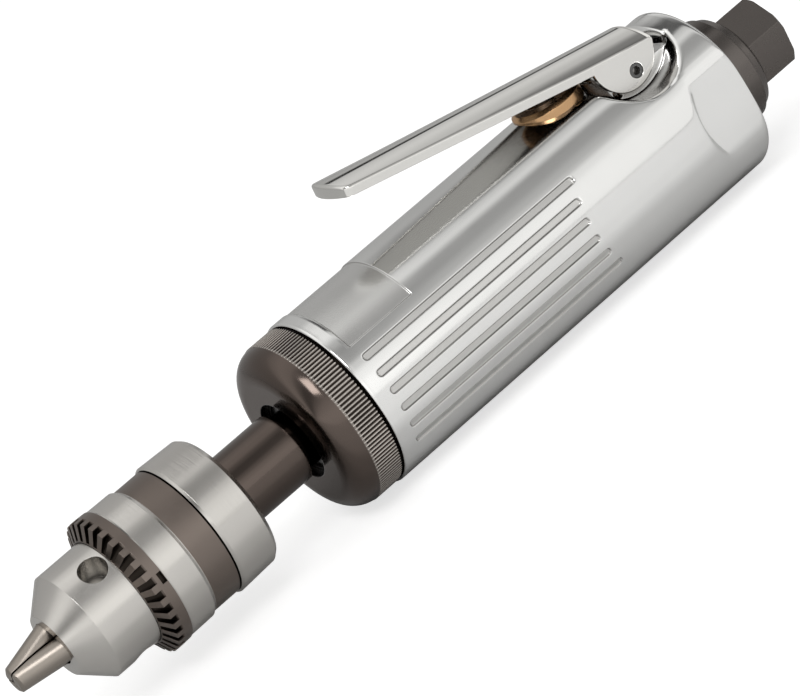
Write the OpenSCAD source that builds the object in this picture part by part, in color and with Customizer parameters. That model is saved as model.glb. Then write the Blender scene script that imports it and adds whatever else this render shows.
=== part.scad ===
// In-line air tool with a keyed drill chuck and a hinged throttle lever.
// X runs along the tool. X = 0 is the face of the air inlet, and the chuck points to -X.
// Z points up through the lever. All sizes are in millimetres.
// Angles around the tool are counted from the -Y side up towards +Z.

/* [Air inlet] */
// Size of the inlet hexagon across its flats
hex_flats = 19; // [17:0.5:22]
// Length of the hexagon
hex_len = 11.5; // [8:0.5:16]
// Diameter of the round flange behind the housing
flange_d = 28.8; // [26:0.2:30]
// Length of the flange
flange_len = 10.5; // [8:0.5:14]
// Diameter of the bushing's stem inside the housing
inlet_stem_d = 21; // [19:0.5:22]
// Length of the stem inside the housing
inlet_stem_len = 12; // [9:0.5:13]
// Diameter of the threaded inlet bore
inlet_bore_d = 11.4; // [10:0.2:12]
// Depth of the threaded inlet bore
inlet_bore_depth = 14; // [10:0.5:18]

/* [Housing] */
// Outer diameter of the housing
housing_d = 45.8; // [45.4:0.2:48]
// Length of the housing
housing_len = 122.5; // [122:0.5:126]
// Diameter of the motor bore
motor_bore_d = 40; // [39.5:0.1:40.4]
// Distance between the two wrench flats
wrench_flats = 40.2; // [39:0.2:43]
// Length of the wrench flats at the middle
wrench_len = 16.1; // [12:0.5:17]
// Radius of the cutter that ends the wrench flats
wrench_cutter_r = 17; // [15:0.5:24]
// Number of long grooves on each side
groove_count = 6; // [4:2:6]
// Angle between two grooves
groove_pitch = 12.2; // [11:0.1:12.4]
// Width of a groove
groove_w = 2.2; // [1.6:0.1:2.6]
// Depth of a groove
groove_depth = 0.5; // [0.3:0.05:0.7]
// Length of the middle grooves
groove_len = 64.2; // [50:0.5:66]
// Depth of the label band
band_depth = 0.3; // [0.2:0.05:0.5]
// Width of the label band along the tool
band_w = 19.6; // [14:0.2:24]
// Distance from the housing's front edge to the band and the grooves
band_start = 4.0; // [2.5:0.1:6]

/* [Lever] */
// Distance of the lever pin ahead of the housing's rear face
pin_ahead = 18; // [17:0.5:19]
// Height of the lever pin above the axis
pin_z = 18.1; // [17.6:0.1:18.4]
// Diameter of the lever pin
pin_d = 3.5; // [3:0.1:4]
// Angle by which the lever rises towards the front
lever_rise = 12.7; // [12.2:0.1:14]
// Length of the lever from the pin to its tip
lever_reach = 82; // [70:0.5:90]
// Width of the lever at the pin
lever_w = 21.6; // [21:0.2:22.4]
// Width of the lever at its tip
lever_tip_w = 17.6; // [15:0.1:20]
// Thickness of the lever's sheet
sheet_t = 1.3; // [1:0.1:1.5]
// Height of the lever plate's long edges over the pin
plate_h = 5.8; // [5.6:0.1:6.4]
// Rise of the lever plate's middle over its long edges, at the pin end
crown_rear = 3; // [1:0.1:3.4]
// Rise of the lever plate's middle over its long edges, at the tip
crown_tip = 0.9; // [0.3:0.1:1.5]
// Height of the lever's turned-down edges
lever_edge_h = 2.4; // [1.8:0.1:2.6]
// Radius of the lever's ears
ear_r = 9; // [8.5:0.1:9.3]
// Radius of the pockets for the ears
pocket_r = 13.4; // [13:0.1:14]

/* [Throttle valve] */
// Distance of the valve's axis ahead of the lever pin
valve_ahead = 19.3; // [18.8:0.1:19.6]
// Diameter of the brass valve cap
valve_cap_d = 17.9; // [17:0.1:18.2]
// Height of the valve cap's top above the axis
valve_cap_top = 24.2; // [23.6:0.1:24.3]
// Diameter of the valve cap's threaded stem
valve_stem_d = 15.9; // [15:0.1:16.4]
// Diameter of the plunger
plunger_d = 5; // [4:0.1:5.4]
// Diameter of the valve chamber
valve_chamber_d = 12; // [11:0.2:12.6]
// Wire diameter of the valve spring
spring_wire = 0.9; // [0.7:0.1:1.1]
// Number of turns of the valve spring
spring_turns = 5; // [4:1:6]

/* [Front cap] */
// Outer diameter of the front cap
cap_d = 44.6; // [43.6:0.2:45.4]
// Length of the front cap outside the housing
cap_len = 12.8; // [12:0.1:15]
// Radius of the cap's rounded shoulder
cap_shoulder_r = 6.5; // [4:0.1:6.8]
// Width of the knurled band
knurl_w = 6.8; // [4:0.1:7.2]
// Number of ridges in the knurled band
knurl_count = 144; // [96:12:180]
// Length of the cap's sleeve inside the housing
cap_sleeve_len = 10.5; // [9:0.1:10.8]
// Diameter of the cap's sleeve inside the housing
cap_sleeve_d = 41.4; // [41:0.1:41.8]
// Diameter of the recess around the spindle's neck
recess_d = 20.8; // [19:0.1:22]
// Depth of the recess
recess_depth = 2; // [1:0.1:2.6]

/* [Spindle and gears] */
// Diameter of the spindle's neck
neck_d = 18; // [17.4:0.1:18.4]
// Length of the neck between the front cap and the chuck
neck_len = 21.2; // [15:0.1:30]
// Diameter of the relief groove at the neck's root
relief_d = 14.6; // [13:0.1:17]
// Length of the relief groove ahead of the front cap
relief_len = 2.4; // [1:0.1:4]
// Inner diameter of the spindle bearings
spindle_bearing_id = 17; // [16.6:0.1:17.2]
// Outer diameter of the spindle bearings
spindle_bearing_od = 30; // [29:0.5:31]
// Width of a spindle bearing
spindle_bearing_w = 7; // [6:0.1:7.2]
// Module of the gear teeth
gear_module = 0.7; // [0.66:0.01:0.71]
// Width of the planet gears
planet_w = 9.4; // [8:0.1:9.6]
// Diameter of the planet pins
planet_pin_d = 4.4; // [4:0.1:5]

/* [Air motor] */
// Wall between the motor bore and the valve chamber
motor_wall = 6.1; // [5.5:0.1:8]
// Diameter of the cylinder's bore
liner_bore_d = 31.8; // [31:0.1:32.4]
// Height of the cylinder's bore above the axis
liner_offset = 1.6; // [1.4:0.1:1.9]
// Number of vanes
vane_count = 5; // [4:1:6]
// Thickness of a vane
vane_t = 1.6; // [1.2:0.1:2]

/* [Chuck] */
// Outer diameter of the chuck
chuck_d = 36; // [35.6:0.1:38]
// Diameter of the chuck's nose
nose_d = 28.3; // [27.8:0.1:28.8]
// Length of the body's rear ring
rear_ring_w = 11.3; // [9:0.1:13]
// Width of the dark groove in the sleeve
sleeve_groove_w = 7.4; // [4:0.1:9]
// Width of the bright ring of the sleeve
sleeve_ring_w = 7.9; // [6:0.1:10]
// Width of the dark band behind the teeth
sleeve_band_w = 2.3; // [1.5:0.1:3]
// Length of the cylindrical part of the nose
nose_len = 12; // [10:0.1:14]
// Length of the nose's cone
nose_cone_len = 6.6; // [5:0.1:8]
// Length by which the closed jaws stand out of the nose
jaw_reach = 12.3; // [11:0.1:12.5]
// Angle between a jaw and the chuck's axis
jaw_angle = 14; // [13.5:0.1:14.2]
// Diameter of a jaw
jaw_d = 5.8; // [5:0.1:5.9]
// Number of teeth on the sleeve
tooth_count = 32; // [24:1:40]
// Width of the slots between the teeth
tooth_slot_w = 2; // [1.2:0.1:2.2]
// Diameter of the pilot holes for the chuck key
pilot_d = 7; // [5:0.1:7.2]

/* [Hidden] */
$fn = 96;

// Clearances
run_fit = 0.05;
seat_fit = 0.02;
eps = 0.01;

// Stations along X
x_housing_rear = -(hex_len + flange_len);
x_housing_front = x_housing_rear - housing_len;
x_cap_rear = x_housing_front - 0.7;
x_cap_front = x_cap_rear - cap_len;
x_chuck_rear = x_cap_front - neck_len;
x_rear_ring = x_chuck_rear - rear_ring_w;
x_sleeve_rear = x_rear_ring - 0.4;
x_groove_front = x_sleeve_rear - sleeve_groove_w;
x_ring_front = x_groove_front - sleeve_ring_w;
x_slot_end = x_ring_front - sleeve_band_w;
tooth_flat = 1.9;
tooth_r = chuck_d / 2 + 0.3;
bevel_h = 1.6;
x_bevel = x_slot_end - tooth_flat;
x_sleeve_front = x_bevel - bevel_h;
x_nose_edge = x_sleeve_front - nose_len;
x_nose_face = x_nose_edge - nose_cone_len;
x_jaw_tip = x_nose_face - jaw_reach;

// Chuck
pilot_angles = [53, 173, 293];
jaw_angles = [113, 233, 353];
x_pilot = x_sleeve_front - 4;
jaw_tip_r = 0.3;
nut_w = 3.9;
x_nut_front = x_sleeve_front + 1.6;
jaw_span = x_nut_front + nut_w - 0.6 - x_jaw_tip;
nut_r = nose_d / 2 + 1.1;
sleeve_bore_r = chuck_d / 2 - 1.7;
shank_r = 5;
tang_r = 4.76;
tang_len = 16;
function jaw_r_at(x) = jaw_tip_r + (x - x_jaw_tip) * tan(jaw_angle);

// Front cap and spindle bearings
cap_wall = 3.5;
seal_w = 2;
bearing_spacer_w = 3;
x_bearing_1 = x_cap_front + cap_wall + seal_w + 0.2;
x_bearing_2 = x_bearing_1 + spindle_bearing_w + bearing_spacer_w;
x_bearing_end = x_bearing_2 + spindle_bearing_w;
x_sleeve_end = x_cap_rear + cap_sleeve_len;
bearing_bore_r = spindle_bearing_od / 2 + seat_fit;

// Planet gears: sun 12, planets 18 and ring 48 teeth
sun_teeth = 12;
planet_teeth = 18;
ring_teeth = sun_teeth + 2 * planet_teeth;
planet_orbit_r = gear_module * (sun_teeth + planet_teeth) / 2;
planet_angles = [90, 210, 330];
cage_r = gear_module * ring_teeth / 2 - 1.1;
cage_front_w = 3.5;
cage_rear_w = 2.5;
x_cage_front = max(x_bearing_end, x_sleeve_end) + 0.4;
x_planet = x_cage_front + cage_front_w + 0.2;
x_cage_rear = x_planet + planet_w + 0.2;
x_cage_end = x_cage_rear + cage_rear_w;
x_ring_gear = max(x_sleeve_end, x_cage_front + 1) + 0.2;

// Lever and valve
x_pin = x_housing_rear - pin_ahead;
x_valve = x_pin - valve_ahead;
ear_inner = lever_w / 2 - sheet_t;
web_half = ear_inner - 0.2;
pocket_z = pin_z + 8.1;
ear_local = [1.2 * cos(lever_rise) + 5.3 * sin(lever_rise),
             5.3 * cos(lever_rise) - 1.2 * sin(lever_rise)];
boss_r = plate_h - sheet_t + crown_rear * (1 - pow(2 * web_half / lever_w, 2)) - 0.3;
tip_r = 20;
tip_corner_r = 2.5;
room_r = sqrt(pow(plate_h + crown_rear, 2) + pow(ear_r - ear_local[0], 2)) + 0.4;
side_cut = 20;
valve_collar_z = valve_cap_top - 4;
seat_z = 6.5;
seat_h = 2.5;
stem_bottom_z = 12.9;
chamber_floor = -9;
spring_r = 3.6;
spring_bottom = chamber_floor + spring_wire / 2;
poppet_h = 3;
stem_meet_z = 10.8;
spring_top = seat_z - 0.1 - poppet_h;

// Air motor, between the gears and the valve
end_plate_w = 6;
front_bearing_w = 5;
rear_bearing_w = 4;
front_journal_r = 5;
front_bearing_or = 11;
rear_journal_r = 4;
rear_bearing_or = 9.5;
x_front_plate = x_cage_end + 0.8;
ring_gear_w = x_front_plate - x_ring_gear;
x_liner = x_front_plate + end_plate_w;
gasket_t = 0.8;
x_bore_end = x_valve - valve_chamber_d / 2 - motor_wall;
x_plate_end = x_bore_end - gasket_t;
x_rear_plate = x_plate_end - end_plate_w;
liner_len = x_rear_plate - x_liner;
x_front_bearing = x_front_plate - 0.2;
x_rear_bearing = x_plate_end - rear_bearing_w;
motor_r = motor_bore_d / 2 - seat_fit;
dowel_r = 1;
dowel_z = motor_r - 2;
air_port_r = 1.8;
air_port_z = 13;
rotor_gap = 0.1;
rotor_d = liner_bore_d - 2 * liner_offset - 2 * rotor_gap;
rotor_slot_depth = 6;
vane_h = rotor_slot_depth - 0.3;

// Helpers

// Turns local Z into +X and moves the origin to station x
module at_x(x) { translate([x, 0, 0]) rotate([0, 90, 0]) children(); }

// Turns local Z to the radial direction at angle a, counted from -Y towards +Z
module radial(a) { rotate([90 - a, 0, 0]) children(); }

// Round bar along X from station x0 to x1
module bar(x0, x1, r) { at_x(x0) cylinder(h = x1 - x0, r = r); }

// Ring along X from station x0 to x1
module tube(x0, x1, r_out, r_in) {
    difference() {
        bar(x0, x1, r_out);
        bar(x0 - 1, x1 + 1, r_in);
    }
}

// Gear outline with straight-sided teeth; the teeth are thinned for backlash
function tooth_points(n, r_root, r_tip, half_root, half_tip, turn) = [
    for (i = [0 : n - 1])
        let (a = turn + i * 360 / n)
        each [[r_root, a - half_root], [r_tip, a - half_tip], [r_tip, a + half_tip],
              [r_root, a + half_root]]];
module gear_shape(n, turn) {
    p = n * gear_module / 2;
    pitch_a = 360 / n;
    points = tooth_points(n, p - 0.85, p + 0.5, pitch_a * 0.27, pitch_a * 0.13, turn);
    polygon([for (q = points) [q[0] * cos(q[1]), q[0] * sin(q[1])]]);
}
module ring_gear_shape(turn) {
    p = ring_teeth * gear_module / 2;
    pitch_a = 360 / ring_teeth;
    points = tooth_points(ring_teeth, p + 0.85, p - 0.5, pitch_a * 0.27, pitch_a * 0.13, turn);
    difference() {
        circle(r = motor_r);
        polygon([for (q = points) [q[0] * cos(q[1]), q[0] * sin(q[1])]]);
    }
}

// Outer ring, inner ring and balls of a ball bearing that starts at x
module bearing_outer(x, w, r_in, r_out) {
    ball_r = (r_out - r_in) * 0.27;
    mid = (r_in + r_out) / 2;
    color("silver") difference() {
        tube(x, x + w, r_out, mid + ball_r * 0.55);
        at_x(x + w / 2) rotate_extrude() translate([mid, 0]) circle(r = ball_r + 0.1);
    }
}
module bearing_inner(x, w, r_in, r_out) {
    ball_r = (r_out - r_in) * 0.27;
    mid = (r_in + r_out) / 2;
    color("silver") difference() {
        tube(x, x + w, mid - ball_r * 0.55, r_in + seat_fit);
        at_x(x + w / 2) rotate_extrude() translate([mid, 0]) circle(r = ball_r + 0.1);
    }
}
module bearing_balls(x, w, r_in, r_out, count) {
    ball_r = (r_out - r_in) * 0.27;
    mid = (r_in + r_out) / 2;
    color("lightgrey")
        for (i = [0 : count - 1])
            rotate([i * 360 / count, 0, 0]) translate([x + w / 2, 0, mid]) sphere(r = ball_r);
}

// Chuck

// Slanted round bar that a jaw runs in, or the jaw itself
module jaw_bar(a, x0, x1, r) {
    radial(a)
        translate([x_jaw_tip, 0, jaw_tip_r]) rotate([0, -jaw_angle, 0])
            translate([(x0 - x_jaw_tip) / cos(jaw_angle), 0, 0]) rotate([0, 90, 0])
                cylinder(h = (x1 - x0) / cos(jaw_angle), r = r);
}

module chuck_body() {
    color("lightsteelblue") difference() {
        union() {
            bar(x_nose_edge, x_rear_ring + eps, nose_d / 2);
            at_x(x_nose_face) cylinder(h = nose_cone_len, r1 = nose_d / 2 - nose_cone_len * 0.9,
                                       r2 = nose_d / 2);
            // Rear ring with chamfered edges, a little narrower at the back
            at_x(x_rear_ring) rotate_extrude() polygon([
                [0, 0], [chuck_d / 2 - 0.5, 0], [chuck_d / 2, 0.6],
                [chuck_d / 2 - 0.4, rear_ring_w - 1], [chuck_d / 2 - 1.2, rear_ring_w],
                [0, rear_ring_w]]);
        }
        for (a = jaw_angles) jaw_bar(a, x_jaw_tip, x_rear_ring + 4.5, jaw_d / 2 + run_fit);
        bar(x_nose_face - 1, x_chuck_rear - tang_len - 3, shank_r);
        bar(x_chuck_rear - tang_len - 1, x_chuck_rear + 1, tang_r + seat_fit);
        // Groove for the nut
        tube(x_nut_front - 0.1, x_nut_front + nut_w + 0.1, nose_d, nose_d / 2 - 3.5);
        // Pilot holes for the key
        for (a = pilot_angles) radial(a) translate([x_pilot, 0, 6]) cylinder(h = 20, d = pilot_d);
    }
}

// Space between the teeth of the sleeve: wedges that stop at a sloping core
module tooth_slots() {
    x_end = x_slot_end - x_sleeve_front;
    in_r = nose_d / 2 - 0.5;
    out_r = tooth_r + 2;
    in_w = tooth_slot_w * 0.32;
    out_w = tooth_slot_w * 0.58;
    at_x(x_sleeve_front) intersection() {
        rotate_extrude() polygon([[nose_d / 2 + 0.45, -1], [nose_d / 2 + 0.45, 0.5],
                                  [tooth_r + 0.02, x_end], [out_r, x_end], [out_r, -1]]);
        translate([0, 0, -2]) linear_extrude(height = x_end + 4)
            for (i = [0 : tooth_count - 1])
                rotate(i * 360 / tooth_count)
                    polygon([[in_r, -in_w], [out_r + 1, -out_w], [out_r + 1, out_w], [in_r, in_w]]);
    }
}

module chuck_sleeve() {
    color("dimgrey") difference() {
        at_x(x_sleeve_front) rotate_extrude() polygon([
            [nose_d / 2 + 0.12, 0], [nose_d / 2 + 0.4, 0], [tooth_r, bevel_h],
            [tooth_r, x_slot_end - x_sleeve_front],
            [tooth_r - 0.1, x_ring_front - x_sleeve_front],
            [chuck_d / 2, x_ring_front - x_sleeve_front + 0.4],
            [chuck_d / 2 - 0.1, x_groove_front - x_sleeve_front - 0.8],
            [chuck_d / 2 - 0.67, x_groove_front - x_sleeve_front],
            [chuck_d / 2 - 0.67, x_sleeve_rear - x_sleeve_front],
            [sleeve_bore_r, x_sleeve_rear - x_sleeve_front],
            [sleeve_bore_r, x_nut_front + nut_w - x_sleeve_front],
            [nut_r + seat_fit, x_nut_front + nut_w - x_sleeve_front],
            [nut_r + seat_fit, x_nut_front - x_sleeve_front],
            [nose_d / 2 + 0.12, x_nut_front - x_sleeve_front]]);
        tooth_slots();
        // Small notch behind the teeth
        radial(9.5) translate([x_ring_front - 0.7, 0, chuck_d / 2])
            cube([1.3, 2.8, 1.6], center = true);
    }
}

// Split ring with a conical bore that drives the jaws
module chuck_nut() {
    r_front = jaw_r_at(x_nut_front) + jaw_d / 2 + 0.25;
    color("grey") difference() {
        bar(x_nut_front, x_nut_front + nut_w, nut_r);
        at_x(x_nut_front - 1) cylinder(h = nut_w + 2, r1 = r_front - tan(jaw_angle),
                                       r2 = r_front + (nut_w + 1) * tan(jaw_angle));
        translate([x_nut_front - 1, -nut_r - 1, -0.1]) cube([nut_w + 2, 2 * nut_r + 2, 0.2]);
    }
}

module jaw(k) {
    a = jaw_angles[k - 1];
    thread_pitch = 2;
    edge_y = 0.35;
    edge_z = 0.45;
    tip_r = 2.6;
    far = 2 * chuck_d;
    color("darkgrey") intersection() {
        difference() {
            jaw_bar(a, x_jaw_tip - 2, x_jaw_tip + jaw_span, jaw_d / 2);
            // Thread marks on the rear half
            for (i = [0 : 3])
                jaw_bar_groove(a, x_jaw_tip + jaw_span - 3 - i * thread_pitch);
            // The rear end stays inside the sleeve when the jaw is drawn back
            radial(a) translate([x_jaw_tip + jaw_span - 6, -5, jaw_back_r()]) cube([12, 10, 5]);
        }
        // Two ground faces that meet the other jaws, and a blunt inner edge
        radial(a) translate([x_jaw_tip, 0, 0]) rotate([90, 0, 90]) linear_extrude(height = far)
            polygon([[-edge_y, edge_z], [edge_y, edge_z], [far, edge_z + far * tan(30)],
                     [far, far], [-far, far], [-far, edge_z + far * tan(30)]]);
        // Blunt tip
        at_x(x_jaw_tip) rotate_extrude() polygon([
            [0, 0], [tip_r, 0], [tip_r + 0.7, 0.5], [far, far - tip_r], [far, 2 * far],
            [0, 2 * far]]);
    }
}
function jaw_back_r() = sleeve_bore_r - 0.15 - 5;
module jaw_bar_groove(a, x) {
    radial(a)
        translate([x_jaw_tip, 0, jaw_tip_r]) rotate([0, -jaw_angle, 0])
            translate([(x - x_jaw_tip) / cos(jaw_angle), 0, 0]) rotate([0, 90, 0])
                rotate_extrude() polygon([[jaw_d / 2 - 0.5, 0], [jaw_d / 2 + 1, -0.9],
                                          [jaw_d / 2 + 1, 0.9]]);
}

// Spindle with the planet cage, one turned piece
module spindle() {
    color("#2b211c") difference() {
        union() {
            bar(x_chuck_rear - tang_len, x_chuck_rear, tang_r);
            bar(x_chuck_rear, x_cap_front + cap_wall, neck_d / 2);
            bar(x_cap_front + cap_wall - eps, x_bearing_end + eps, spindle_bearing_id / 2);
            bar(x_bearing_end, x_cage_front + eps, spindle_bearing_id / 2 + 2);
            bar(x_cage_front, x_cage_front + cage_front_w, cage_r);
            bar(x_cage_rear, x_cage_end, cage_r);
            // Posts between the planets
            for (a = planet_angles)
                radial(a + 60) translate([x_planet - 0.3, -2.5, planet_orbit_r - 0.6])
                    cube([planet_w + 0.8, 5, cage_r - planet_orbit_r - 0.3]);
        }
        // Relief groove where the neck enters the front cap
        tube(x_cap_front - relief_len, x_cap_front + recess_depth, neck_d, relief_d / 2);
        bar(x_cage_front + 1.5, x_cage_end + 1, gear_module * sun_teeth / 2 + 1.2);
        for (a = planet_angles)
            radial(a) translate([0, 0, planet_orbit_r])
                bar(x_cage_front - 1, x_cage_end + 1, planet_pin_d / 2 + seat_fit);
    }
}

module planet_pins() {
    color("silver")
        for (a = planet_angles)
            radial(a) translate([0, 0, planet_orbit_r])
                bar(x_cage_front, x_cage_end, planet_pin_d / 2);
}

module planet_gear(k) {
    color("slategrey") radial(planet_angles[k - 1]) translate([0, 0, planet_orbit_r])
        difference() {
            at_x(x_planet) linear_extrude(height = planet_w) gear_shape(planet_teeth, 0);
            bar(x_planet - 1, x_planet + planet_w + 1, planet_pin_d / 2 + run_fit);
        }
}

module ring_gear() {
    color("grey") at_x(x_ring_gear) linear_extrude(height = ring_gear_w)
        ring_gear_shape(180 / ring_teeth);
}

// Front cap

module front_cap() {
    r = cap_d / 2;
    s = cap_shoulder_r;
    color("#231b18") difference() {
        union() {
            // Face, rounded shoulder and rim
            at_x(x_cap_front) rotate_extrude() union() {
                square([r - s, cap_len]);
                translate([0, s]) square([r - 0.15, cap_len - s - knurl_w + eps]);
                translate([0, cap_len - knurl_w]) square([r - 0.5, knurl_w]);
                translate([r - s, s]) intersection() {
                    circle(r = s);
                    translate([0, -s]) square([s, s]);
                }
            }
            // Knurled band
            at_x(x_cap_rear - knurl_w) linear_extrude(height = knurl_w)
                polygon([for (i = [0 : 2 * knurl_count - 1])
                    let (q = i * 180 / knurl_count, k = i % 2 == 0 ? r + 0.12 : r - 0.2)
                    [k * cos(q), k * sin(q)]]);
            bar(x_cap_rear - eps, x_sleeve_end, cap_sleeve_d / 2);
        }
        bar(x_cap_front - 1, x_cap_front + cap_wall + 1, neck_d / 2 + 0.3);
        bar(x_cap_front + cap_wall, x_sleeve_end + 1, bearing_bore_r);
        bar(x_cap_front - 1, x_cap_front + recess_depth, recess_d / 2);
    }
}

module spindle_seal() {
    color("black") tube(x_cap_front + cap_wall + 0.1, x_cap_front + cap_wall + seal_w,
                        spindle_bearing_od / 2, spindle_bearing_id / 2 + run_fit);
}
module spindle_bearing_spacer() {
    color("silver") tube(x_bearing_1 + spindle_bearing_w, x_bearing_2,
                         spindle_bearing_od / 2, spindle_bearing_od / 2 - 2);
}

// Air motor

module end_plate(x, journal_r, bearing_or, seat_x0, seat_x1) {
    difference() {
        bar(x, x + end_plate_w, motor_r);
        bar(seat_x0, seat_x1, bearing_or + seat_fit);
        bar(x - 1, x + end_plate_w + 1, journal_r + 0.5);
        radial(270) translate([0, 0, dowel_z])
            bar(x - 1, x + end_plate_w + 1, dowel_r + seat_fit);
    }
}
module front_end_plate() {
    color("darkgrey") end_plate(x_front_plate, front_journal_r + 2, front_bearing_or,
                                x_front_plate - 1, x_front_bearing + front_bearing_w);
}
module rear_end_plate() {
    color("darkgrey") difference() {
        end_plate(x_rear_plate, rear_journal_r + 2, rear_bearing_or,
                  x_rear_bearing, x_plate_end + 1);
        // Air port into the cylinder
        radial(90) translate([0, 0, air_port_z])
            bar(x_rear_plate - 1, x_plate_end + 1, air_port_r);
    }
}
module cylinder_liner() {
    color("grey") difference() {
        bar(x_liner, x_rear_plate, motor_r);
        translate([0, 0, liner_offset]) bar(x_liner - 1, x_rear_plate + 1, liner_bore_d / 2);
        radial(270) translate([0, 0, dowel_z])
            bar(x_liner - 1, x_rear_plate + 1, dowel_r + seat_fit);
        // Exhaust ports
        for (a = [150, 170, 190])
            radial(a) translate([x_liner + liner_len / 2, 0, 10]) cylinder(h = 15, r = 1.6);
    }
}
module liner_dowel() {
    color("silver") radial(270) translate([0, 0, dowel_z])
        bar(x_front_plate + 2, x_plate_end - 1, dowel_r);
}
module rotor() {
    color("darkslategrey") difference() {
        union() {
            bar(x_liner + rotor_gap, x_rear_plate - rotor_gap, rotor_d / 2);
            bar(x_front_plate - 0.6, x_liner + 1, front_journal_r);
            bar(x_rear_plate - 1, x_plate_end + 0.2, rear_journal_r);
            at_x(x_planet) linear_extrude(height = x_front_plate - x_planet)
                gear_shape(sun_teeth, 180 / sun_teeth);
        }
        for (i = [0 : vane_count - 1])
            rotate([i * 360 / vane_count, 0, 0])
                translate([x_liner - 1, -vane_t / 2 - run_fit, rotor_d / 2 - rotor_slot_depth])
                    cube([liner_len + 2, vane_t + 2 * run_fit, rotor_slot_depth + 2]);
    }
}
module vanes() {
    color("saddlebrown")
        for (i = [0 : vane_count - 1])
            rotate([i * 360 / vane_count, 0, 0])
                translate([x_liner + 0.2, -vane_t / 2, rotor_d / 2 - vane_h - 0.1])
                    cube([liner_len - 0.4, vane_t, vane_h]);
}
module motor_gasket() {
    color("black") difference() {
        tube(x_plate_end, x_bore_end - seat_fit, motor_r, rear_bearing_or + 1);
        radial(90) translate([0, 0, air_port_z]) bar(x_plate_end - 1, x_bore_end + 1, air_port_r);
    }
}

// Housing

// Groove cut by a ball-nosed cutter
module long_groove(x0, x1) {
    r = (groove_depth * groove_depth + groove_w * groove_w / 4) / (2 * groove_depth);
    translate([0, 0, housing_d / 2 - groove_depth + r]) at_x(x0 + r)
        rotate_extrude() intersection() {
            union() {
                circle(r = r);
                square([r, x1 - x0 - 2 * r]);
                translate([0, x1 - x0 - 2 * r]) circle(r = r);
            }
            translate([0, -r - 1]) square([r + 1, x1 - x0 + 2]);
        }
}

module housing() {
    r = housing_d / 2;
    x_band = x_housing_front + band_start;
    color("gainsboro") difference() {
        at_x(x_housing_front) rotate_extrude() polygon([
            [0, 0], [r - 0.5, 0], [r, 0.5], [r, housing_len - 0.8],
            [r - 0.8, housing_len], [0, housing_len]]);
        // Motor bore and the seat of the front cap
        bar(x_housing_front - 1, x_bore_end, motor_bore_d / 2);
        bar(x_housing_front - 1, x_sleeve_end + 0.2, cap_sleeve_d / 2 + seat_fit);
        // Inlet bore and air way to the valve
        bar(x_housing_rear - inlet_stem_len - 2.5, x_housing_rear + 1, inlet_stem_d / 2 + seat_fit);
        bar(x_valve, x_housing_rear, 6);
        // Valve chamber, its threaded mouth and the seat of the cap's collar
        translate([x_valve, 0, chamber_floor]) cylinder(h = housing_d, d = valve_chamber_d);
        translate([x_valve, 0, stem_bottom_z - 0.1])
            cylinder(h = housing_d / 2, d = valve_stem_d + 2 * seat_fit);
        translate([x_valve, 0, valve_collar_z]) cylinder(h = housing_d / 2, d = valve_cap_d + 0.2);
        // Air way from the valve to the motor
        translate([0, 0, seat_z + seat_h + 2]) bar(x_bore_end - 2, x_valve, air_port_r);
        // Pockets for the lever's ears
        for (side = [-1, 1])
            translate([x_pin - 0.3, side * (web_half + side_cut / 2), pocket_z])
                rotate([90, 0, 0]) cylinder(h = side_cut, r = pocket_r, center = true);
        // Room for the lever's plate around the pin, with the boss left standing
        difference() {
            translate([x_pin, 0, pin_z]) rotate([90, 0, 0])
                cylinder(h = 2 * web_half + 1, r = room_r, center = true);
            translate([x_pin, 0, pin_z]) rotate([90, 0, 0])
                cylinder(h = 2 * web_half + 2, r = boss_r, center = true);
            translate([x_pin - side_cut, -web_half - 1, pin_z - side_cut])
                cube([2 * side_cut, 2 * web_half + 2, side_cut]);
        }
        // Slot between the valve cap and the boss
        translate([x_valve + 2, -web_half, pin_z - 3])
            cube([valve_ahead - boss_r - 3, 2 * web_half, 12]);
        // Hole for the lever pin
        translate([x_pin, 0, pin_z]) rotate([90, 0, 0])
            cylinder(h = housing_d, d = pin_d + 2 * seat_fit, center = true);
        // Wrench flats, ended by a round cutter
        for (side = [-1, 1])
            translate([x_housing_rear - wrench_len + wrench_cutter_r,
                       side * (wrench_flats / 2 + side_cut / 2), 0])
                rotate([90, 0, 0]) cylinder(h = side_cut, r = wrench_cutter_r, center = true);
        // Long grooves, six to a side, the outer ones longer
        for (side = [0, 180])
            for (i = [0 : groove_count - 1]) {
                k = abs(i - (groove_count - 1) / 2);
                radial(side + (i - (groove_count - 1) / 2) * groove_pitch)
                    long_groove(x_band + 0.2, x_band + 0.2 + groove_len + 0.55 * k * k - 0.15);
            }
        // Label band over the top
        intersection() {
            tube(x_band, x_band + band_w, r + 1, r - band_depth);
            translate([x_band - 1, 0, 0]) rotate([90, 0, 90]) linear_extrude(height = band_w + 2)
                polygon([[0, 0], [40 * cos(41), 40 * sin(41)], [40, 60], [-40, 60],
                         [-40 * cos(41), 40 * sin(41)]]);
        }
    }
}

// Lever

// Plan of the lever, s along the plate from the pin, inset by d. The tip is an arc of
// tip_r, and a rounding of tip_corner_r meets it from each side
function lever_plan(d) =
    let (w0 = lever_w / 2 - d, w1 = lever_tip_w / 2 - d, r = tip_corner_r - d,
         big = tip_r - d, sc = lever_reach - tip_r,
         sf = sc + sqrt(pow(big - r, 2) - pow(w1 - r, 2)), lean = atan2(w1 - r, sf - sc),
         side = [[-ear_r - 4, w0], [ear_r + 3, w0]],
         corner = [for (i = [0 : 4]) let (q = 90 - (90 - lean) * i / 4)
                   [sf + r * cos(q), w1 - r + r * sin(q)]],
         arc = [for (i = [1 : 3]) let (q = lean * (1 - i / 4)) [sc + big * cos(q), big * sin(q)]],
         half = concat(side, corner, arc))
    concat(half, [[sc + big, 0]],
           [for (i = [len(half) - 1 : -1 : 0]) [half[i][0], -half[i][1]]]);

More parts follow.
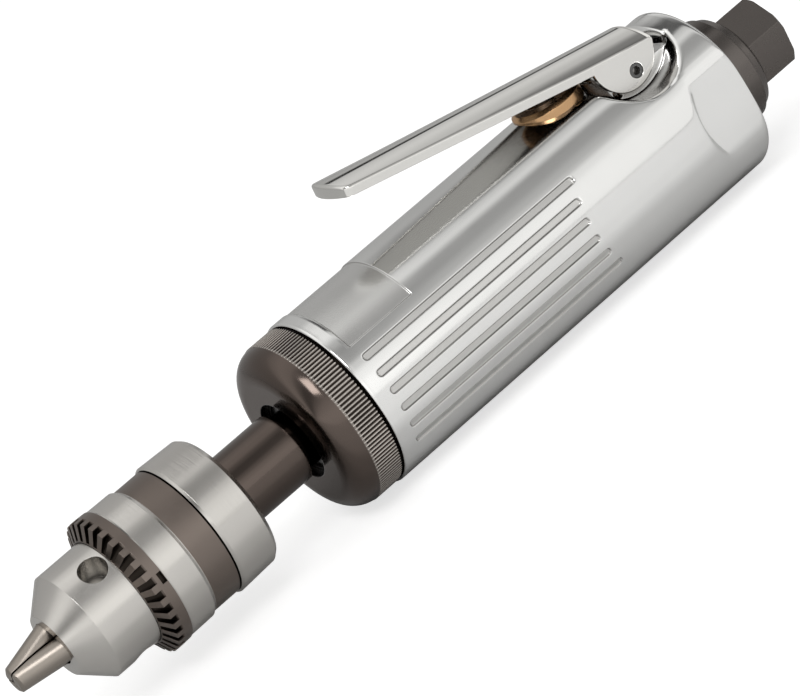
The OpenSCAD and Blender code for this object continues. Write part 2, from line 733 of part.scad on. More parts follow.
// Puts a local frame (s forward along the plate, h up) at the pin
module at_lever() {
    translate([x_pin, 0, pin_z]) rotate([0, lever_rise, 0]) mirror([1, 0, 0]) children();
}

// Side view of the lever: the ears' disc and the long strip
module lever_side() {
    low = plate_h - lever_edge_h;
    translate(ear_local) circle(r = ear_r);
    translate([ear_local[0], low]) square([lever_reach, plate_h + crown_rear - low + 1]);
}

// Everything under the lever plate's crowned top face, lowered by d. Across the plate the
// face is a parabola, and its rise falls evenly from the pin end to the tip
module under_crown(d) {
    hull() for (q = [[-ear_r, lever_w / 2, crown_rear], [lever_reach, lever_tip_w / 2, crown_tip]])
        translate([q[0], 0, 0]) rotate([90, 0, 90]) linear_extrude(height = 0.01) polygon(
            concat([for (i = [-10 : 10]) [q[1] * i / 8, plate_h - d + q[2] * (1 - i * i / 64)]],
                   [[q[1] * 1.25, -lever_w], [-q[1] * 1.25, -lever_w]]));
}

// Folded from one sheet: plate, turned-down edges and two ears
module lever() {
    color("whitesmoke") at_lever() difference() {
        intersection() {
            rotate([90, 0, 0]) linear_extrude(height = 2 * lever_w, center = true) lever_side();
            linear_extrude(height = 2 * lever_w, center = true) polygon(lever_plan(0));
            under_crown(0);
        }
        intersection() {
            linear_extrude(height = 3 * lever_w, center = true) polygon(lever_plan(sheet_t));
            under_crown(sheet_t);
        }
        rotate([90, 0, 0]) cylinder(h = 2 * lever_w, d = pin_d + 2 * run_fit, center = true);
    }
}

module lever_pin() {
    color("dimgrey") translate([x_pin, 0, pin_z]) rotate([90, 0, 0]) difference() {
        cylinder(h = lever_w - 0.4, d = pin_d, center = true);
        cylinder(h = lever_w, d = pin_d - 1.4, center = true);
    }
}

// Throttle valve

module valve_cap() {
    r = valve_cap_d / 2;
    color("goldenrod") translate([x_valve, 0, 0]) difference() {
        union() {
            translate([0, 0, valve_collar_z + seat_fit])
                cylinder(h = valve_cap_top - valve_collar_z - 1 - seat_fit, r = r);
            translate([0, 0, valve_cap_top - 1 - eps]) cylinder(h = 1 + eps, r1 = r, r2 = r - 1);
            translate([0, 0, stem_bottom_z])
                cylinder(h = valve_collar_z - stem_bottom_z + 1, d = valve_stem_d);
        }
        translate([0, 0, stem_bottom_z - 1]) cylinder(h = 20, d = plunger_d + 2 * run_fit);
        translate([0, 0, stem_bottom_z - 1]) cylinder(h = 3, d = plunger_d + 3);
        translate([0, 0, valve_cap_top - 1]) cylinder(h = 5, r = 5);
    }
}
module plunger_seal_ring() {
    color("black") translate([x_valve, 0, stem_bottom_z + 0.7]) difference() {
        cylinder(h = 1.2, d = plunger_d + 2.96);
        translate([0, 0, -1]) cylinder(h = 4, d = plunger_d + 2 * run_fit);
    }
}
// The plunger reaches from the lever down to the valve's stem
module valve_plunger() {
    crown_here = crown_rear + (crown_tip - crown_rear) * (valve_ahead + ear_r) / (lever_reach + ear_r);
    contact_z = pin_z + (plate_h + crown_here - sheet_t) / cos(lever_rise) + valve_ahead * tan(lever_rise);
    top = contact_z - 0.35;
    nose_h = 1.1;
    color("silver") translate([x_valve, 0, 0]) {
        translate([0, 0, stem_meet_z]) cylinder(h = top - nose_h - stem_meet_z, d = plunger_d);
        translate([0, 0, top - nose_h - eps])
            cylinder(h = nose_h, d1 = plunger_d, d2 = plunger_d - 2.6);
    }
}
module valve_seat() {
    color("peru") translate([x_valve, 0, seat_z]) difference() {
        cylinder(h = seat_h, d = valve_chamber_d - 2 * seat_fit);
        translate([0, 0, -1]) cylinder(h = seat_h + 2, d = 7);
    }
}
module throttle_valve() {
    color("silver") translate([x_valve, 0, 0]) {
        translate([0, 0, spring_top]) cylinder(h = poppet_h - 0.3, d = 10.4);
        translate([0, 0, spring_top - 1.5]) cylinder(h = 2, d = 5);
        translate([0, 0, seat_z - 1]) cylinder(h = stem_meet_z - seat_z + 1, d = 3.2);
    }
}

// Coil spring as one swept tube
module valve_spring() {
    sides = 6;
    steps = 10;
    coil_r = spring_r;
    z0 = spring_bottom;
    z1 = spring_top - spring_wire / 2 - 0.05;
    n = spring_turns * steps;
    rise = (z1 - z0) / (360 * spring_turns) * 180 / PI;
    slope = atan(rise / coil_r);
    function ring(i) =
        let (q = i * 360 / steps, z = z0 + (z1 - z0) * i / n)
        [for (j = [0 : sides - 1])
            let (e = j * 360 / sides, a = spring_wire / 2 * cos(e), b = spring_wire / 2 * sin(e))
            [(coil_r + a) * cos(q) + b * sin(slope) * sin(q),
             (coil_r + a) * sin(q) - b * sin(slope) * cos(q), z + b * cos(slope)]];
    points = [for (i = [0 : n]) each ring(i)];
    faces = concat(
        [for (i = [0 : n - 1], j = [0 : sides - 1])
            [i * sides + j, i * sides + (j + 1) % sides,
             (i + 1) * sides + (j + 1) % sides, (i + 1) * sides + j]],
        [[for (j = [sides - 1 : -1 : 0]) j]],
        [[for (j = [0 : sides - 1]) n * sides + j]]);
    color("grey") translate([x_valve, 0, 0]) polyhedron(points = points, faces = faces);
}

// Air inlet

module inlet_bushing() {
    r = flange_d / 2;
    color("#3a3430") difference() {
        union() {
            at_x(x_housing_rear) rotate_extrude() polygon([
                [0, 0], [r, 0], [r, flange_len - 3.3], [r - 0.5, flange_len - 3],
                [r - 1.4, flange_len - 1], [r - 2.6, flange_len], [0, flange_len]]);
            radial(21.5) rotate([0, 90, 0]) intersection() {
                translate([0, 0, -hex_len - 1])
                    cylinder(h = hex_len + 1, d = hex_flats / cos(30), $fn = 6);
                translate([0, 0, -hex_len - 2])
                    cylinder(h = hex_len + 2, r1 = hex_flats / 2 + hex_len + 2.5,
                             r2 = hex_flats / 2 + 0.5);
            }
            bar(x_housing_rear - inlet_stem_len, x_housing_rear + 1, inlet_stem_d / 2);
        }
        bar(-inlet_bore_depth, 1, inlet_bore_d / 2);
        bar(x_housing_rear - inlet_stem_len - 1, 0, 4.2);
        // Groove for the seal ring
        tube(x_housing_rear - 4, x_housing_rear - 2, inlet_stem_d, inlet_stem_d / 2 - 1.5);
    }
}
module inlet_seal_ring() {
    color("black") tube(x_housing_rear - 3.9, x_housing_rear - 2.1,
                        inlet_stem_d / 2, inlet_stem_d / 2 - 1.45);
}
// Screen disc held against the end of the stem
module inlet_screen() {
    x = x_housing_rear - inlet_stem_len - 0.8;
    color("silver") difference() {
        bar(x, x + 0.75, inlet_stem_d / 2 - 0.4);
        for (i = [-2 : 2], j = [-2 : 2])
            translate([x - 1, i * 1.9, j * 1.9]) rotate([0, 90, 0]) cylinder(h = 3, r = 0.7);
    }
}

chuck_body();
chuck_sleeve();
chuck_nut();
jaw(1);  // jaw_1
jaw(2);  // jaw_2
jaw(3);  // jaw_3
spindle();
front_cap();
spindle_seal();
spindle_bearing_spacer();
bearing_outer(x_bearing_1, spindle_bearing_w, spindle_bearing_id / 2, spindle_bearing_od / 2);  // front_bearing_outer
bearing_inner(x_bearing_1, spindle_bearing_w, spindle_bearing_id / 2, spindle_bearing_od / 2);  // front_bearing_inner
bearing_balls(x_bearing_1, spindle_bearing_w, spindle_bearing_id / 2,  // front_bearing_balls
                  spindle_bearing_od / 2, 12);
bearing_outer(x_bearing_2, spindle_bearing_w, spindle_bearing_id / 2, spindle_bearing_od / 2);  // middle_bearing_outer
bearing_inner(x_bearing_2, spindle_bearing_w, spindle_bearing_id / 2, spindle_bearing_od / 2);  // middle_bearing_inner
bearing_balls(x_bearing_2, spindle_bearing_w, spindle_bearing_id / 2,  // middle_bearing_balls
                  spindle_bearing_od / 2, 12);
ring_gear();
planet_gear(1);  // planet_gear_1
planet_gear(2);  // planet_gear_2
planet_gear(3);  // planet_gear_3
planet_pins();
front_end_plate();
bearing_outer(x_front_bearing, front_bearing_w, front_journal_r, front_bearing_or);  // rotor_front_bearing_outer
bearing_inner(x_front_bearing, front_bearing_w, front_journal_r, front_bearing_or);  // rotor_front_bearing_inner
bearing_balls(x_front_bearing, front_bearing_w, front_journal_r, front_bearing_or, 9);  // rotor_front_bearing_balls
cylinder_liner();
rotor();
vanes();
liner_dowel();
rear_end_plate();
bearing_outer(x_rear_bearing, rear_bearing_w, rear_journal_r, rear_bearing_or);  // rotor_rear_bearing_outer
bearing_inner(x_rear_bearing, rear_bearing_w, rear_journal_r, rear_bearing_or);  // rotor_rear_bearing_inner
bearing_balls(x_rear_bearing, rear_bearing_w, rear_journal_r, rear_bearing_or, 8);  // rotor_rear_bearing_balls
motor_gasket();
housing();
lever();
lever_pin();
valve_cap();
valve_plunger();
plunger_seal_ring();
valve_seat();
throttle_valve();
valve_spring();
inlet_bushing();
inlet_screen();
inlet_seal_ring();
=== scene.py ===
# %% [markdown]
# # An in-line air drill
# The tool is a bright aluminium barrel with an air motor in it, a folded steel lever on top,
# a dark steel nose and a ground steel drill chuck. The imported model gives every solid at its
# real size and place. This script gives them their finishes, and rebuilds as fine surfaces
# the pieces whose rounded edges and soft blends show most.

# %% Load the frame
import math

import bpy
import numpy as np
from mathutils import Matrix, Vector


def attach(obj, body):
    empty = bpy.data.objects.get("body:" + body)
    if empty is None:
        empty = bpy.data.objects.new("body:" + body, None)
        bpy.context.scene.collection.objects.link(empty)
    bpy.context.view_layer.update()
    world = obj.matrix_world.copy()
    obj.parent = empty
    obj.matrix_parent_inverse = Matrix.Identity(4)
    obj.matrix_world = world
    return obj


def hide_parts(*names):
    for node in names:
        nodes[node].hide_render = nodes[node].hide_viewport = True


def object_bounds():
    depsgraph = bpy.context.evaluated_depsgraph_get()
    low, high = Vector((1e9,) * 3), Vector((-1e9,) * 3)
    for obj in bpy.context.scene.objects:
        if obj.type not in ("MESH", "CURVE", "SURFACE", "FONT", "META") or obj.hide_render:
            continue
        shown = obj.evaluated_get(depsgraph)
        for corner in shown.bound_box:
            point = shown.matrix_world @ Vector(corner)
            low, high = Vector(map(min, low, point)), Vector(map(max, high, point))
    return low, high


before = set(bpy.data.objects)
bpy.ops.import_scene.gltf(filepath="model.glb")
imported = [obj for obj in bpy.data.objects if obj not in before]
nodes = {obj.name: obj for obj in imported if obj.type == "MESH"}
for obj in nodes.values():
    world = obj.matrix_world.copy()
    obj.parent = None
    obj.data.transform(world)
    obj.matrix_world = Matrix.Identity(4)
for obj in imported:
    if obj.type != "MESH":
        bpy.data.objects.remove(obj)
cad_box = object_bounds()
MM = 0.001
print("nodes:", len(nodes))

# %% [markdown]
# ## The camera
# The picture was taken with a long lens, from the left of the chuck and a little above. The
# tool's axis runs through the middle of the frame, and the camera is rolled, so that the tool
# lies on the picture's diagonal. The camera is placed from four numbers: how far it is swung
# towards the chuck, how high it stands, how much it is rolled, and how far away it is. It
# looks at a point of the axis, and places are in metres. A Track To constraint could aim it
# too, but has no roll of its own, so the three axes are worked out here.

# %% Camera
SWING = math.radians(20.2)
RISE = math.radians(21.7)
ROLL = math.radians(40.86)
DISTANCE = 0.876
AIM = np.array([-0.1236, 0.0, 0.0])
LENS_MM = 171.4
SENSOR_MM = 36.0
NEAREST, FARTHEST = 0.02, 50.0


def unit(v):
    """The vector v divided by its length."""
    v = np.asarray(v, float)
    return v / np.linalg.norm(v)


def placement(right, up, back, place):
    """A 4x4 placement whose columns are three axes and a position."""
    m = np.eye(4)
    m[:3, 0], m[:3, 1], m[:3, 2], m[:3, 3] = unit(right), unit(up), unit(back), place
    return Matrix(m.tolist())


def make_camera():
    """Camera whose back axis is the sight line and whose up axis is turned by the roll."""
    back = np.array([-math.sin(SWING), -math.cos(SWING) * math.cos(RISE),
                     math.cos(SWING) * math.sin(RISE)])
    along = np.array([math.cos(SWING), -math.sin(SWING) * math.cos(RISE),
                      math.sin(SWING) * math.sin(RISE)])
    upright = np.array([0.0, math.sin(RISE), math.cos(RISE)])
    right = math.cos(ROLL) * along - math.sin(ROLL) * upright
    up = math.sin(ROLL) * along + math.cos(ROLL) * upright
    data = bpy.data.cameras.new("camera")
    data.lens = LENS_MM
    data.sensor_width = SENSOR_MM
    data.clip_start, data.clip_end = NEAREST, FARTHEST
    camera = bpy.data.objects.new("camera", data)
    bpy.context.scene.collection.objects.link(camera)
    camera.matrix_world = placement(right, up, back, AIM + DISTANCE * back)
    bpy.context.scene.camera = camera
    return camera


camera = make_camera()
bpy.context.scene.view_settings.view_transform = "Standard"
print("camera at", [round(v, 3) for v in camera.matrix_world.translation], "m")


# %% [markdown]
# ## The studio
# Polished metal shows little colour of its own: it shows the room. A product photographer
# lights such a tool with long soft panels that lie along it, so that each round surface
# carries bright and dark stripes from end to end. The same is done here with a world whose
# brightness depends on the angle around the tool's axis: one broad panel in front of the tool
# and one above it, with dimmer gaps between them. The panels differ along the tool. Where the
# chuck mirrors them, the front panel is short below and the top panel is wide. Where the
# barrel does, the front panel goes down under the tool and the top panel is narrow. The
# lever's slope sees a third panel behind the tool, with a thin dark gap that draws the line
# along its ridge. One area lamp gives the floor its shadow.

# %% Node helpers
def new_material(name):
    """An empty material with an output and one Principled shader."""
    material = bpy.data.materials.new(name)
    material.use_nodes = True
    return material, material.node_tree, material.node_tree.nodes["Principled BSDF"]


def add(tree, kind, **settings):
    """One new shader node, with its settings."""
    node = tree.nodes.new(kind)
    for key, value in settings.items():
        setattr(node, key, value)
    return node


def compute(tree, operation, first, second=0.0):
    """A math node; each operand is a number or a socket."""
    node = add(tree, "ShaderNodeMath", operation=operation)
    for socket, value in zip(node.inputs, (first, second)):
        if isinstance(value, (int, float)):
            socket.default_value = value
        else:
            tree.links.new(value, socket)
    return node.outputs[0]


def object_axes(tree):
    """The X, Y and Z sockets of the object's own coordinates, in metres."""
    parts = add(tree, "ShaderNodeSeparateXYZ")
    tree.links.new(add(tree, "ShaderNodeTexCoord").outputs["Object"], parts.inputs[0])
    return parts.outputs["X"], parts.outputs["Y"], parts.outputs["Z"]


def ramp(tree, value, stops):
    """A colour ramp on a value, with smooth climbs between its stops. Each stop is a position
    and a grey or a colour."""
    node = add(tree, "ShaderNodeValToRGB")
    node.color_ramp.interpolation = "EASE"
    elements = node.color_ramp.elements
    while len(elements) < len(stops):
        elements.new(0.5)
    for element, (place, colour) in zip(elements, stops):
        grey = isinstance(colour, (int, float))
        element.position = place
        element.color = (colour, colour, colour, 1) if grey else (*colour, 1)
    tree.links.new(value, node.inputs[0])
    return node.outputs[0]


def mix_colour(tree, factor, first, second):
    """A colour between two colours; the factor is a socket. Inputs 6 and 7 of a Mix node are
    its two colours, and output 2 is the colour between them."""
    node = add(tree, "ShaderNodeMix", data_type="RGBA")
    tree.links.new(factor, node.inputs[0])
    for socket, value in zip((node.inputs[6], node.inputs[7]), (first, second)):
        if isinstance(value, tuple):
            socket.default_value = (*value, 1)
        else:
            tree.links.new(value, socket)
    return node.outputs[2]


# %% World
# Brightness of the studio by the angle in degrees around the tool's axis: 0 is in front of
# the tool, 90 above it and 180 behind it.
CHUCK_END = [(-180, 0.30), (-110, 0.25), (-88, 0.30), (-60, 0.36), (-42, 0.46), (-28, 0.85),
             (-12, 1.14), (16, 1.22), (28, 1.00), (40, 0.62), (50, 0.32), (64, 0.30),
             (76, 0.52), (90, 0.94), (106, 1.02), (118, 0.86), (132, 0.56), (150, 0.50),
             (160, 0.48), (180, 0.40)]
INLET_END = [(-180, 0.35), (-125, 0.30), (-104, 0.34), (-90, 0.60), (-76, 0.90), (-40, 0.94),
             (28, 0.98), (40, 0.86), (52, 0.50), (66, 0.36), (74, 0.34), (84, 0.74),
             (93, 0.60), (100, 0.10), (122, 0.08), (136, 0.28), (152, 0.42), (180, 0.40)]
LEVER_END = INLET_END[:-4] + [(122, 0.24), (136, 0.60), (152, 0.72), (164.4, 0.60),
                              (165.4, 0.02), (169.6, 0.02), (171.0, 0.45), (180, 0.40)]
# How far a ray leans towards the inlet, as the X of its direction, while one set of panels
# gives way to the next, and the panels' slightly warm white.
TO_INLET, TO_LEVER = (0.332, 0.366), (0.435, 0.455)
PANEL_WHITE = (1.0, 0.995, 0.98)


def make_world():
    """A world whose brightness follows CHUCK_END where a ray leaves square to the axis,
    INLET_END where it leans more towards +X, and LEVER_END further still. The place on each
    ramp is the arc tangent of z over -y, as a share of a full turn."""
    world = bpy.data.worlds.new("studio")
    world.use_nodes = True
    tree = world.node_tree
    background = tree.nodes["Background"]
    way = add(tree, "ShaderNodeTexCoord").outputs["Generated"]
    parts = add(tree, "ShaderNodeSeparateXYZ")
    tree.links.new(way, parts.inputs[0])
    back = compute(tree, "MULTIPLY", parts.outputs["Y"], -1.0)
    angle = compute(tree, "ARCTAN2", parts.outputs["Z"], back)
    turn = compute(tree, "ADD", compute(tree, "DIVIDE", angle, 2 * math.pi), 0.5)
    ends = [ramp(tree, turn, [(degrees / 360 + 0.5, tuple(grey * c for c in PANEL_WHITE))
                              for degrees, grey in stops])
            for stops in (CHUCK_END, INLET_END, LEVER_END)]
    shade = ends[0]
    for (start, stop), end in ((TO_INLET, ends[1]), (TO_LEVER, ends[2])):
        lean = ramp(tree, parts.outputs["X"], [(start, 0.0), (stop, 1.0)])
        shade = mix_colour(tree, lean, shade, end)
    tree.links.new(shade, background.inputs["Color"])
    background.inputs["Strength"].default_value = 1.0
    bpy.context.scene.world = world


make_world()
print("world:", [len(stops) for stops in (CHUCK_END, INLET_END, LEVER_END)], "stops")

# %% Lamp and floor
FLOOR_HALF, FLOOR_GAP = 6.0, 0.0002
# The grey of the floor's paint across a strip STRIP metres wide, whose middle, 0.5, lies under
# the tool's axis. It is darker near the tool: a painted shadow, which the metal's underside
# mirrors.
STRIP = 0.2
FLOOR_PAINT_AND_SHADOW = [(0.10, 0.95), (0.26, 0.90), (0.35, 0.64), (0.43, 0.56), (0.62, 0.46),
               (0.90, 0.52)]
# How bright the studio makes a white floor, and how bright the camera is to see it: a little
# over white, so that only the tool's shadow comes out grey.
FLOOR_LIT, FLOOR_SEEN = 0.79, 1.10


def make_lamp(name, place, target, size, watts):
    """A square area lamp at a place, turned to a target."""
    data = bpy.data.lights.new(name, "AREA")
    data.size = size
    data.energy = watts
    lamp = bpy.data.objects.new(name, data)
    bpy.context.scene.collection.objects.link(lamp)
    back = unit(np.asarray(place) - np.asarray(target))
    right = unit(np.cross((0.0, 0.0, 1.0), back))
    lamp.matrix_world = placement(right, np.cross(back, right), back, place)


def make_floor():
    """A white floor under the tool, seen only from above, so that views from below stay open.
    Its paint is darker close to the tool, as a painted shadow where the real sweep lies in the
    tool's own shade.
    For the camera it also glows by FLOOR_SEEN less FLOOR_LIT times the paint, which brings it
    back to white."""
    z = cad_box[0].z - FLOOR_GAP
    corners = [(FLOOR_HALF * x, FLOOR_HALF * y, z)
               for x, y in ((-1, -1), (1, -1), (1, 1), (-1, 1))]
    mesh = bpy.data.meshes.new("floor")
    mesh.from_pydata(corners, [], [(0, 1, 2, 3)])
    floor = bpy.data.objects.new("floor", mesh)
    bpy.context.scene.collection.objects.link(floor)
    material, tree, shader = new_material("floor")
    aside = compute(tree, "MULTIPLY", object_axes(tree)[1], 1 / STRIP)
    paint_and_shadow = ramp(tree, compute(tree, "ADD", aside, 0.5), FLOOR_PAINT_AND_SHADOW)
    tree.links.new(paint_and_shadow, shader.inputs["Base Color"])
    shader.inputs["Roughness"].default_value = 0.9
    shader.inputs["Emission Color"].default_value = (1, 1, 1, 1)
    rays = add(tree, "ShaderNodeLightPath")
    missing = compute(tree, "SUBTRACT", FLOOR_SEEN, compute(tree, "MULTIPLY", paint_and_shadow, FLOOR_LIT))
    tree.links.new(compute(tree, "MULTIPLY", rays.outputs["Is Camera Ray"], missing),
                   shader.inputs["Emission Strength"])
    clear = add(tree, "ShaderNodeBsdfTransparent")
    sides = add(tree, "ShaderNodeMixShader")
    tree.links.new(add(tree, "ShaderNodeNewGeometry").outputs["Backfacing"], sides.inputs[0])
    tree.links.new(shader.outputs[0], sides.inputs[1])
    tree.links.new(clear.outputs[0], sides.inputs[2])
    tree.links.new(sides.outputs[0], tree.nodes["Material Output"].inputs["Surface"])
    mesh.materials.append(material)


make_lamp("key", place=(-0.45, -0.75, 1.15), target=(-0.12, 0.0, 0.0), size=0.6, watts=6.0)
make_floor()
print("floor", 2 * FLOOR_HALF, "m wide, and", len(bpy.data.lights), "lamp")

# %% [markdown]
# ## Marks and painted shade that several finishes share
# Three effects come back on many pieces, so each is made once, as a node group. Turning and
# grinding leave fine lines around the axis. Polishing and handling leave fine scratches and
# a cloudy change of gloss. Corners and slots get painted shade: a darker colour where an
# ambient occlusion node finds walls near. Photographs of metal could carry such marks too,
# but noise on the object's own coordinates needs no unwrapping and stays in place when the tool
# moves.

# %% Shared effects
# How often the noise changes in a metre: around the axis, along a scratch, and in the clouds
# of a turned and of a handled surface.
AROUND, ALONG_SCRATCH, TURNED_CLOUD, HANDLED_CLOUD = 60.0, 120.0, 90.0, 70.0


def new_group(name, inputs, outputs):
    """A shader node group with float inputs and outputs; returns the group and its two ends."""
    group = bpy.data.node_groups.new(name, "ShaderNodeTree")
    for label, default in inputs:
        socket = group.interface.new_socket(label, in_out="INPUT", socket_type="NodeSocketFloat")
        socket.default_value = default
    for label in outputs:
        group.interface.new_socket(label, in_out="OUTPUT", socket_type="NodeSocketFloat")
    start = group.nodes.new("NodeGroupInput")
    end = group.nodes.new("NodeGroupOutput")
    return group, start, end


def scaled(tree, sockets, factor):
    """Each of the sockets times a number."""
    return [compute(tree, "MULTIPLY", socket, factor) for socket in sockets]


def from_axis(tree, y, z):
    """The distance from the tool's axis: the root of y squared plus z squared."""
    squares = [compute(tree, "MULTIPLY", c, c) for c in (y, z)]
    return compute(tree, "SQRT", compute(tree, "ADD", *squares))


def stretched_noise(tree, x, y, z, detail=2.0, rough=0.5):
    """Noise from 0 to 1 at a point given by three sockets."""
    point = add(tree, "ShaderNodeCombineXYZ")
    for socket, value in zip(point.inputs, (x, y, z)):
        tree.links.new(value, socket)
    noise = add(tree, "ShaderNodeTexNoise")
    noise.inputs["Scale"].default_value = 1.0
    noise.inputs["Detail"].default_value = detail
    noise.inputs["Roughness"].default_value = rough
    tree.links.new(point.outputs[0], noise.inputs["Vector"])
    return noise.outputs[0]


def make_turned_lines():
    """Lines around X: noise that changes fast along X plus the radius, and slowly round."""
    group, start, end = new_group("turned lines", [("Pitch", 0.0002)], ["Height", "Cloud"])
    x, y, z = object_axes(group)
    along = compute(group, "DIVIDE", compute(group, "ADD", x, from_axis(group, y, z)),
                    start.outputs["Pitch"])
    lines = stretched_noise(group, along, *scaled(group, (y, z), AROUND), detail=3.0, rough=0.7)
    cloud = stretched_noise(group, *scaled(group, (x, y, z), TURNED_CLOUD), detail=3.0)
    group.links.new(lines, end.inputs["Height"])
    group.links.new(cloud, end.inputs["Cloud"])
    return group


def make_handling():
    """Scratches along X, from noise that changes slowly along X and fast across it, and a
    cloudy change of gloss."""
    group, start, end = new_group("handling marks", [("Width", 0.0003)], ["Height", "Cloud"])
    x, y, z = object_axes(group)
    wide = start.outputs["Width"]
    lines = stretched_noise(group, compute(group, "MULTIPLY", x, ALONG_SCRATCH),
                            compute(group, "DIVIDE", y, wide),
                            compute(group, "DIVIDE", z, wide), rough=0.6)
    cloud = stretched_noise(group, *scaled(group, (x, y, z), HANDLED_CLOUD), detail=4.0,
                            rough=0.6)
    group.links.new(lines, end.inputs["Height"])
    group.links.new(cloud, end.inputs["Cloud"])
    return group


def make_corner_shade():
    """How open a place is, from an ambient occlusion node: 1 on a free face, falling to 0 deep
    in a corner or a slot. The metal recipe paints shade where it is low.
    """
    group, start, end = new_group("painted shade in corners", [("Reach", 0.001)], ["Open"])
    shade = add(group, "ShaderNodeAmbientOcclusion", samples=8)
    group.links.new(start.outputs["Reach"], shade.inputs["Distance"])
    group.links.new(shade.outputs["AO"], end.inputs["Open"])
    return group


TURNED = make_turned_lines()
HANDLING = make_handling()
CORNER_SHADE = make_corner_shade()
print("shared effects:", TURNED.name, HANDLING.name, CORNER_SHADE.name)

# %% [markdown]
# ## The finishes
# Every metal here is built the same way: a base colour, a gloss that drifts a little from
# place to place, fine marks as a bump, rounded edges from the bevel node, and painted shade, a
# darker colour where the surface is closed in. What differs is the metal, the gloss and the
# direction of the marks.
# Each could be a node tree drawn by hand, but one function keeps them alike, and a change to
# the recipe reaches all of them.

# %% The metal recipe
# The colour of the painted shade in corners and the colour in dull clouds, as shares of the
# metal's own; the parts of the cloud that are glossiest and dullest; and how open a place is
# from full painted shade to none.
CORNER_DARK = 0.35
CLOUD_DULL = 0.94
CLOUD_LOW, CLOUD_HIGH = 0.3, 0.7
OPEN_STOPS = [(0.25, 0.0), (0.75, 1.0)]


def metal(name, colour, rough, marks, size, depth, drift=0.05, edge=0.0003, corner_shade_colour=None,
          reach=0.0012, second=None, line=None):
    """One metal finish. marks is TURNED or HANDLING, size the width of a mark, depth its bump;
    drift is the change in gloss, edge the radius of rounded edges, the argument after edge the
    colour of the painted shade in corners, and reach how near a wall has to be for a place to
    count as a corner.
    second is another finish on part of the piece: a function that gives its share from the
    node tree, its colour, and what it adds to the roughness. line is a function that gives
    the share of a dark line in the corner colour: painted shade in the knurl's valleys, the
    slots and the neck's recess, and the outline of the barrel's grooves."""
    material, tree, shader = new_material(name)
    group = add(tree, "ShaderNodeGroup", node_tree=marks)
    group.inputs[0].default_value = size
    shader.inputs["Metallic"].default_value = 1.0
    # Painted shade: the colour turns dark wherever ambient occlusion finds the place closed in.
    shade = add(tree, "ShaderNodeGroup", node_tree=CORNER_SHADE)
    shade.inputs[0].default_value = reach
    dark = corner_shade_colour or tuple(CORNER_DARK * c for c in colour)
    dull = tuple(CLOUD_DULL * c for c in colour)
    open_colour = mix_colour(tree, group.outputs["Cloud"], dull, colour)
    if second:
        share = second[0](tree)
        open_colour = mix_colour(tree, share, open_colour, second[1])
    if line:
        open_colour = mix_colour(tree, line(tree), open_colour, dark)
    tree.links.new(mix_colour(tree, ramp(tree, shade.outputs[0], OPEN_STOPS), dark, open_colour),
                   shader.inputs["Base Color"])
    gloss = add(tree, "ShaderNodeMapRange")
    gloss.inputs["To Min"].default_value = max(rough - drift, 0.02)
    gloss.inputs["To Max"].default_value = rough + drift
    gloss.inputs["From Min"].default_value = CLOUD_LOW
    gloss.inputs["From Max"].default_value = CLOUD_HIGH
    tree.links.new(group.outputs["Cloud"], gloss.inputs["Value"])
    final = gloss.outputs[0]
    if second:
        final = compute(tree, "ADD", final, compute(tree, "MULTIPLY", share, second[2]))
    tree.links.new(final, shader.inputs["Roughness"])
    bump = add(tree, "ShaderNodeBump")
    bump.inputs["Strength"].default_value = 1.0
    bump.inputs["Distance"].default_value = depth
    tree.links.new(group.outputs["Height"], bump.inputs["Height"])
    if edge:
        bevel = add(tree, "ShaderNodeBevel", samples=6)
        bevel.inputs["Radius"].default_value = edge
        tree.links.new(bevel.outputs[0], bump.inputs["Normal"])
    tree.links.new(bump.outputs[0], shader.inputs["Normal"])
    return material


# %% [markdown]
# ## Where a piece has two finishes, or painted light and shade
# Some pieces aren't the same all over. The sleeve comes black from hardening, and only the
# ring between its teeth and its rear groove is ground bright. The crests of the knurl carry a
# painted highlight, and painted shade darkens its valleys, the slots between the teeth and the
# recess where the spindle leaves the nose. On the barrel the grooves and the band at the front
# are satin, with a dark outline painted on their walls. A painted mask could hold all this, but
# here each share is worked out from the place on the piece, so it stays sharp at any distance.

# %% Shares of a second finish
# Places in metres: the knurl's front end, the radius of its valleys and its depth, the recess
# round the neck, and the radius that parts the knurl from the bores inside it.
KNURL_X, KNURL_R, KNURL_DEPTH = -0.1521, 0.0221, 0.00032
RECESS_X, RECESS_R = (-0.1604, -0.154), 0.0105
INSIDE_R = 0.020
# The sleeve's toothed end: where its bevel starts, and at what radius; how fast it climbs;
# the radius of the teeth less 0.1 mm; and where the slots are sure to have ended. Then the
# ground ring's two ends, a little behind its edges, so that its chamfer is bright too.
BEVEL_X, BEVEL_R, BEVEL_CLIMB = -0.212, 0.01455, 2.344
TOOTH_R, SLOTS_END_X = 0.0182, -0.2061
GROUND_RING = (-0.20614, -0.1982)


def satin_share(tree):
    """The share of satin finish that the housing's points carry."""
    return add(tree, "ShaderNodeAttribute", attribute_name="satin").outputs["Fac"]


def groove_line(tree):
    """The share of dark outline that the housing's points carry along grooves and band."""
    return add(tree, "ShaderNodeAttribute", attribute_name="outline").outputs["Fac"]


def between(tree, value, low, high):
    """1 where the value is over low and under high, and 0 elsewhere."""
    return compute(tree, "MULTIPLY", compute(tree, "GREATER_THAN", value, low),
                   compute(tree, "LESS_THAN", value, high))


def x_and_radius(tree):
    """Sockets for the place along X and the distance from the axis, in metres."""
    x, y, z = object_axes(tree)
    return x, from_axis(tree, y, z)


def knurl_height(tree, x, radius):
    """The height on the front cap's knurl from valley to crest, 0 to 1, and a socket that is
    1 behind the knurl's front end."""
    above = compute(tree, "SUBTRACT", radius, KNURL_R)
    return (compute(tree, "MULTIPLY", above, 1 / KNURL_DEPTH),
            compute(tree, "GREATER_THAN", x, KNURL_X))


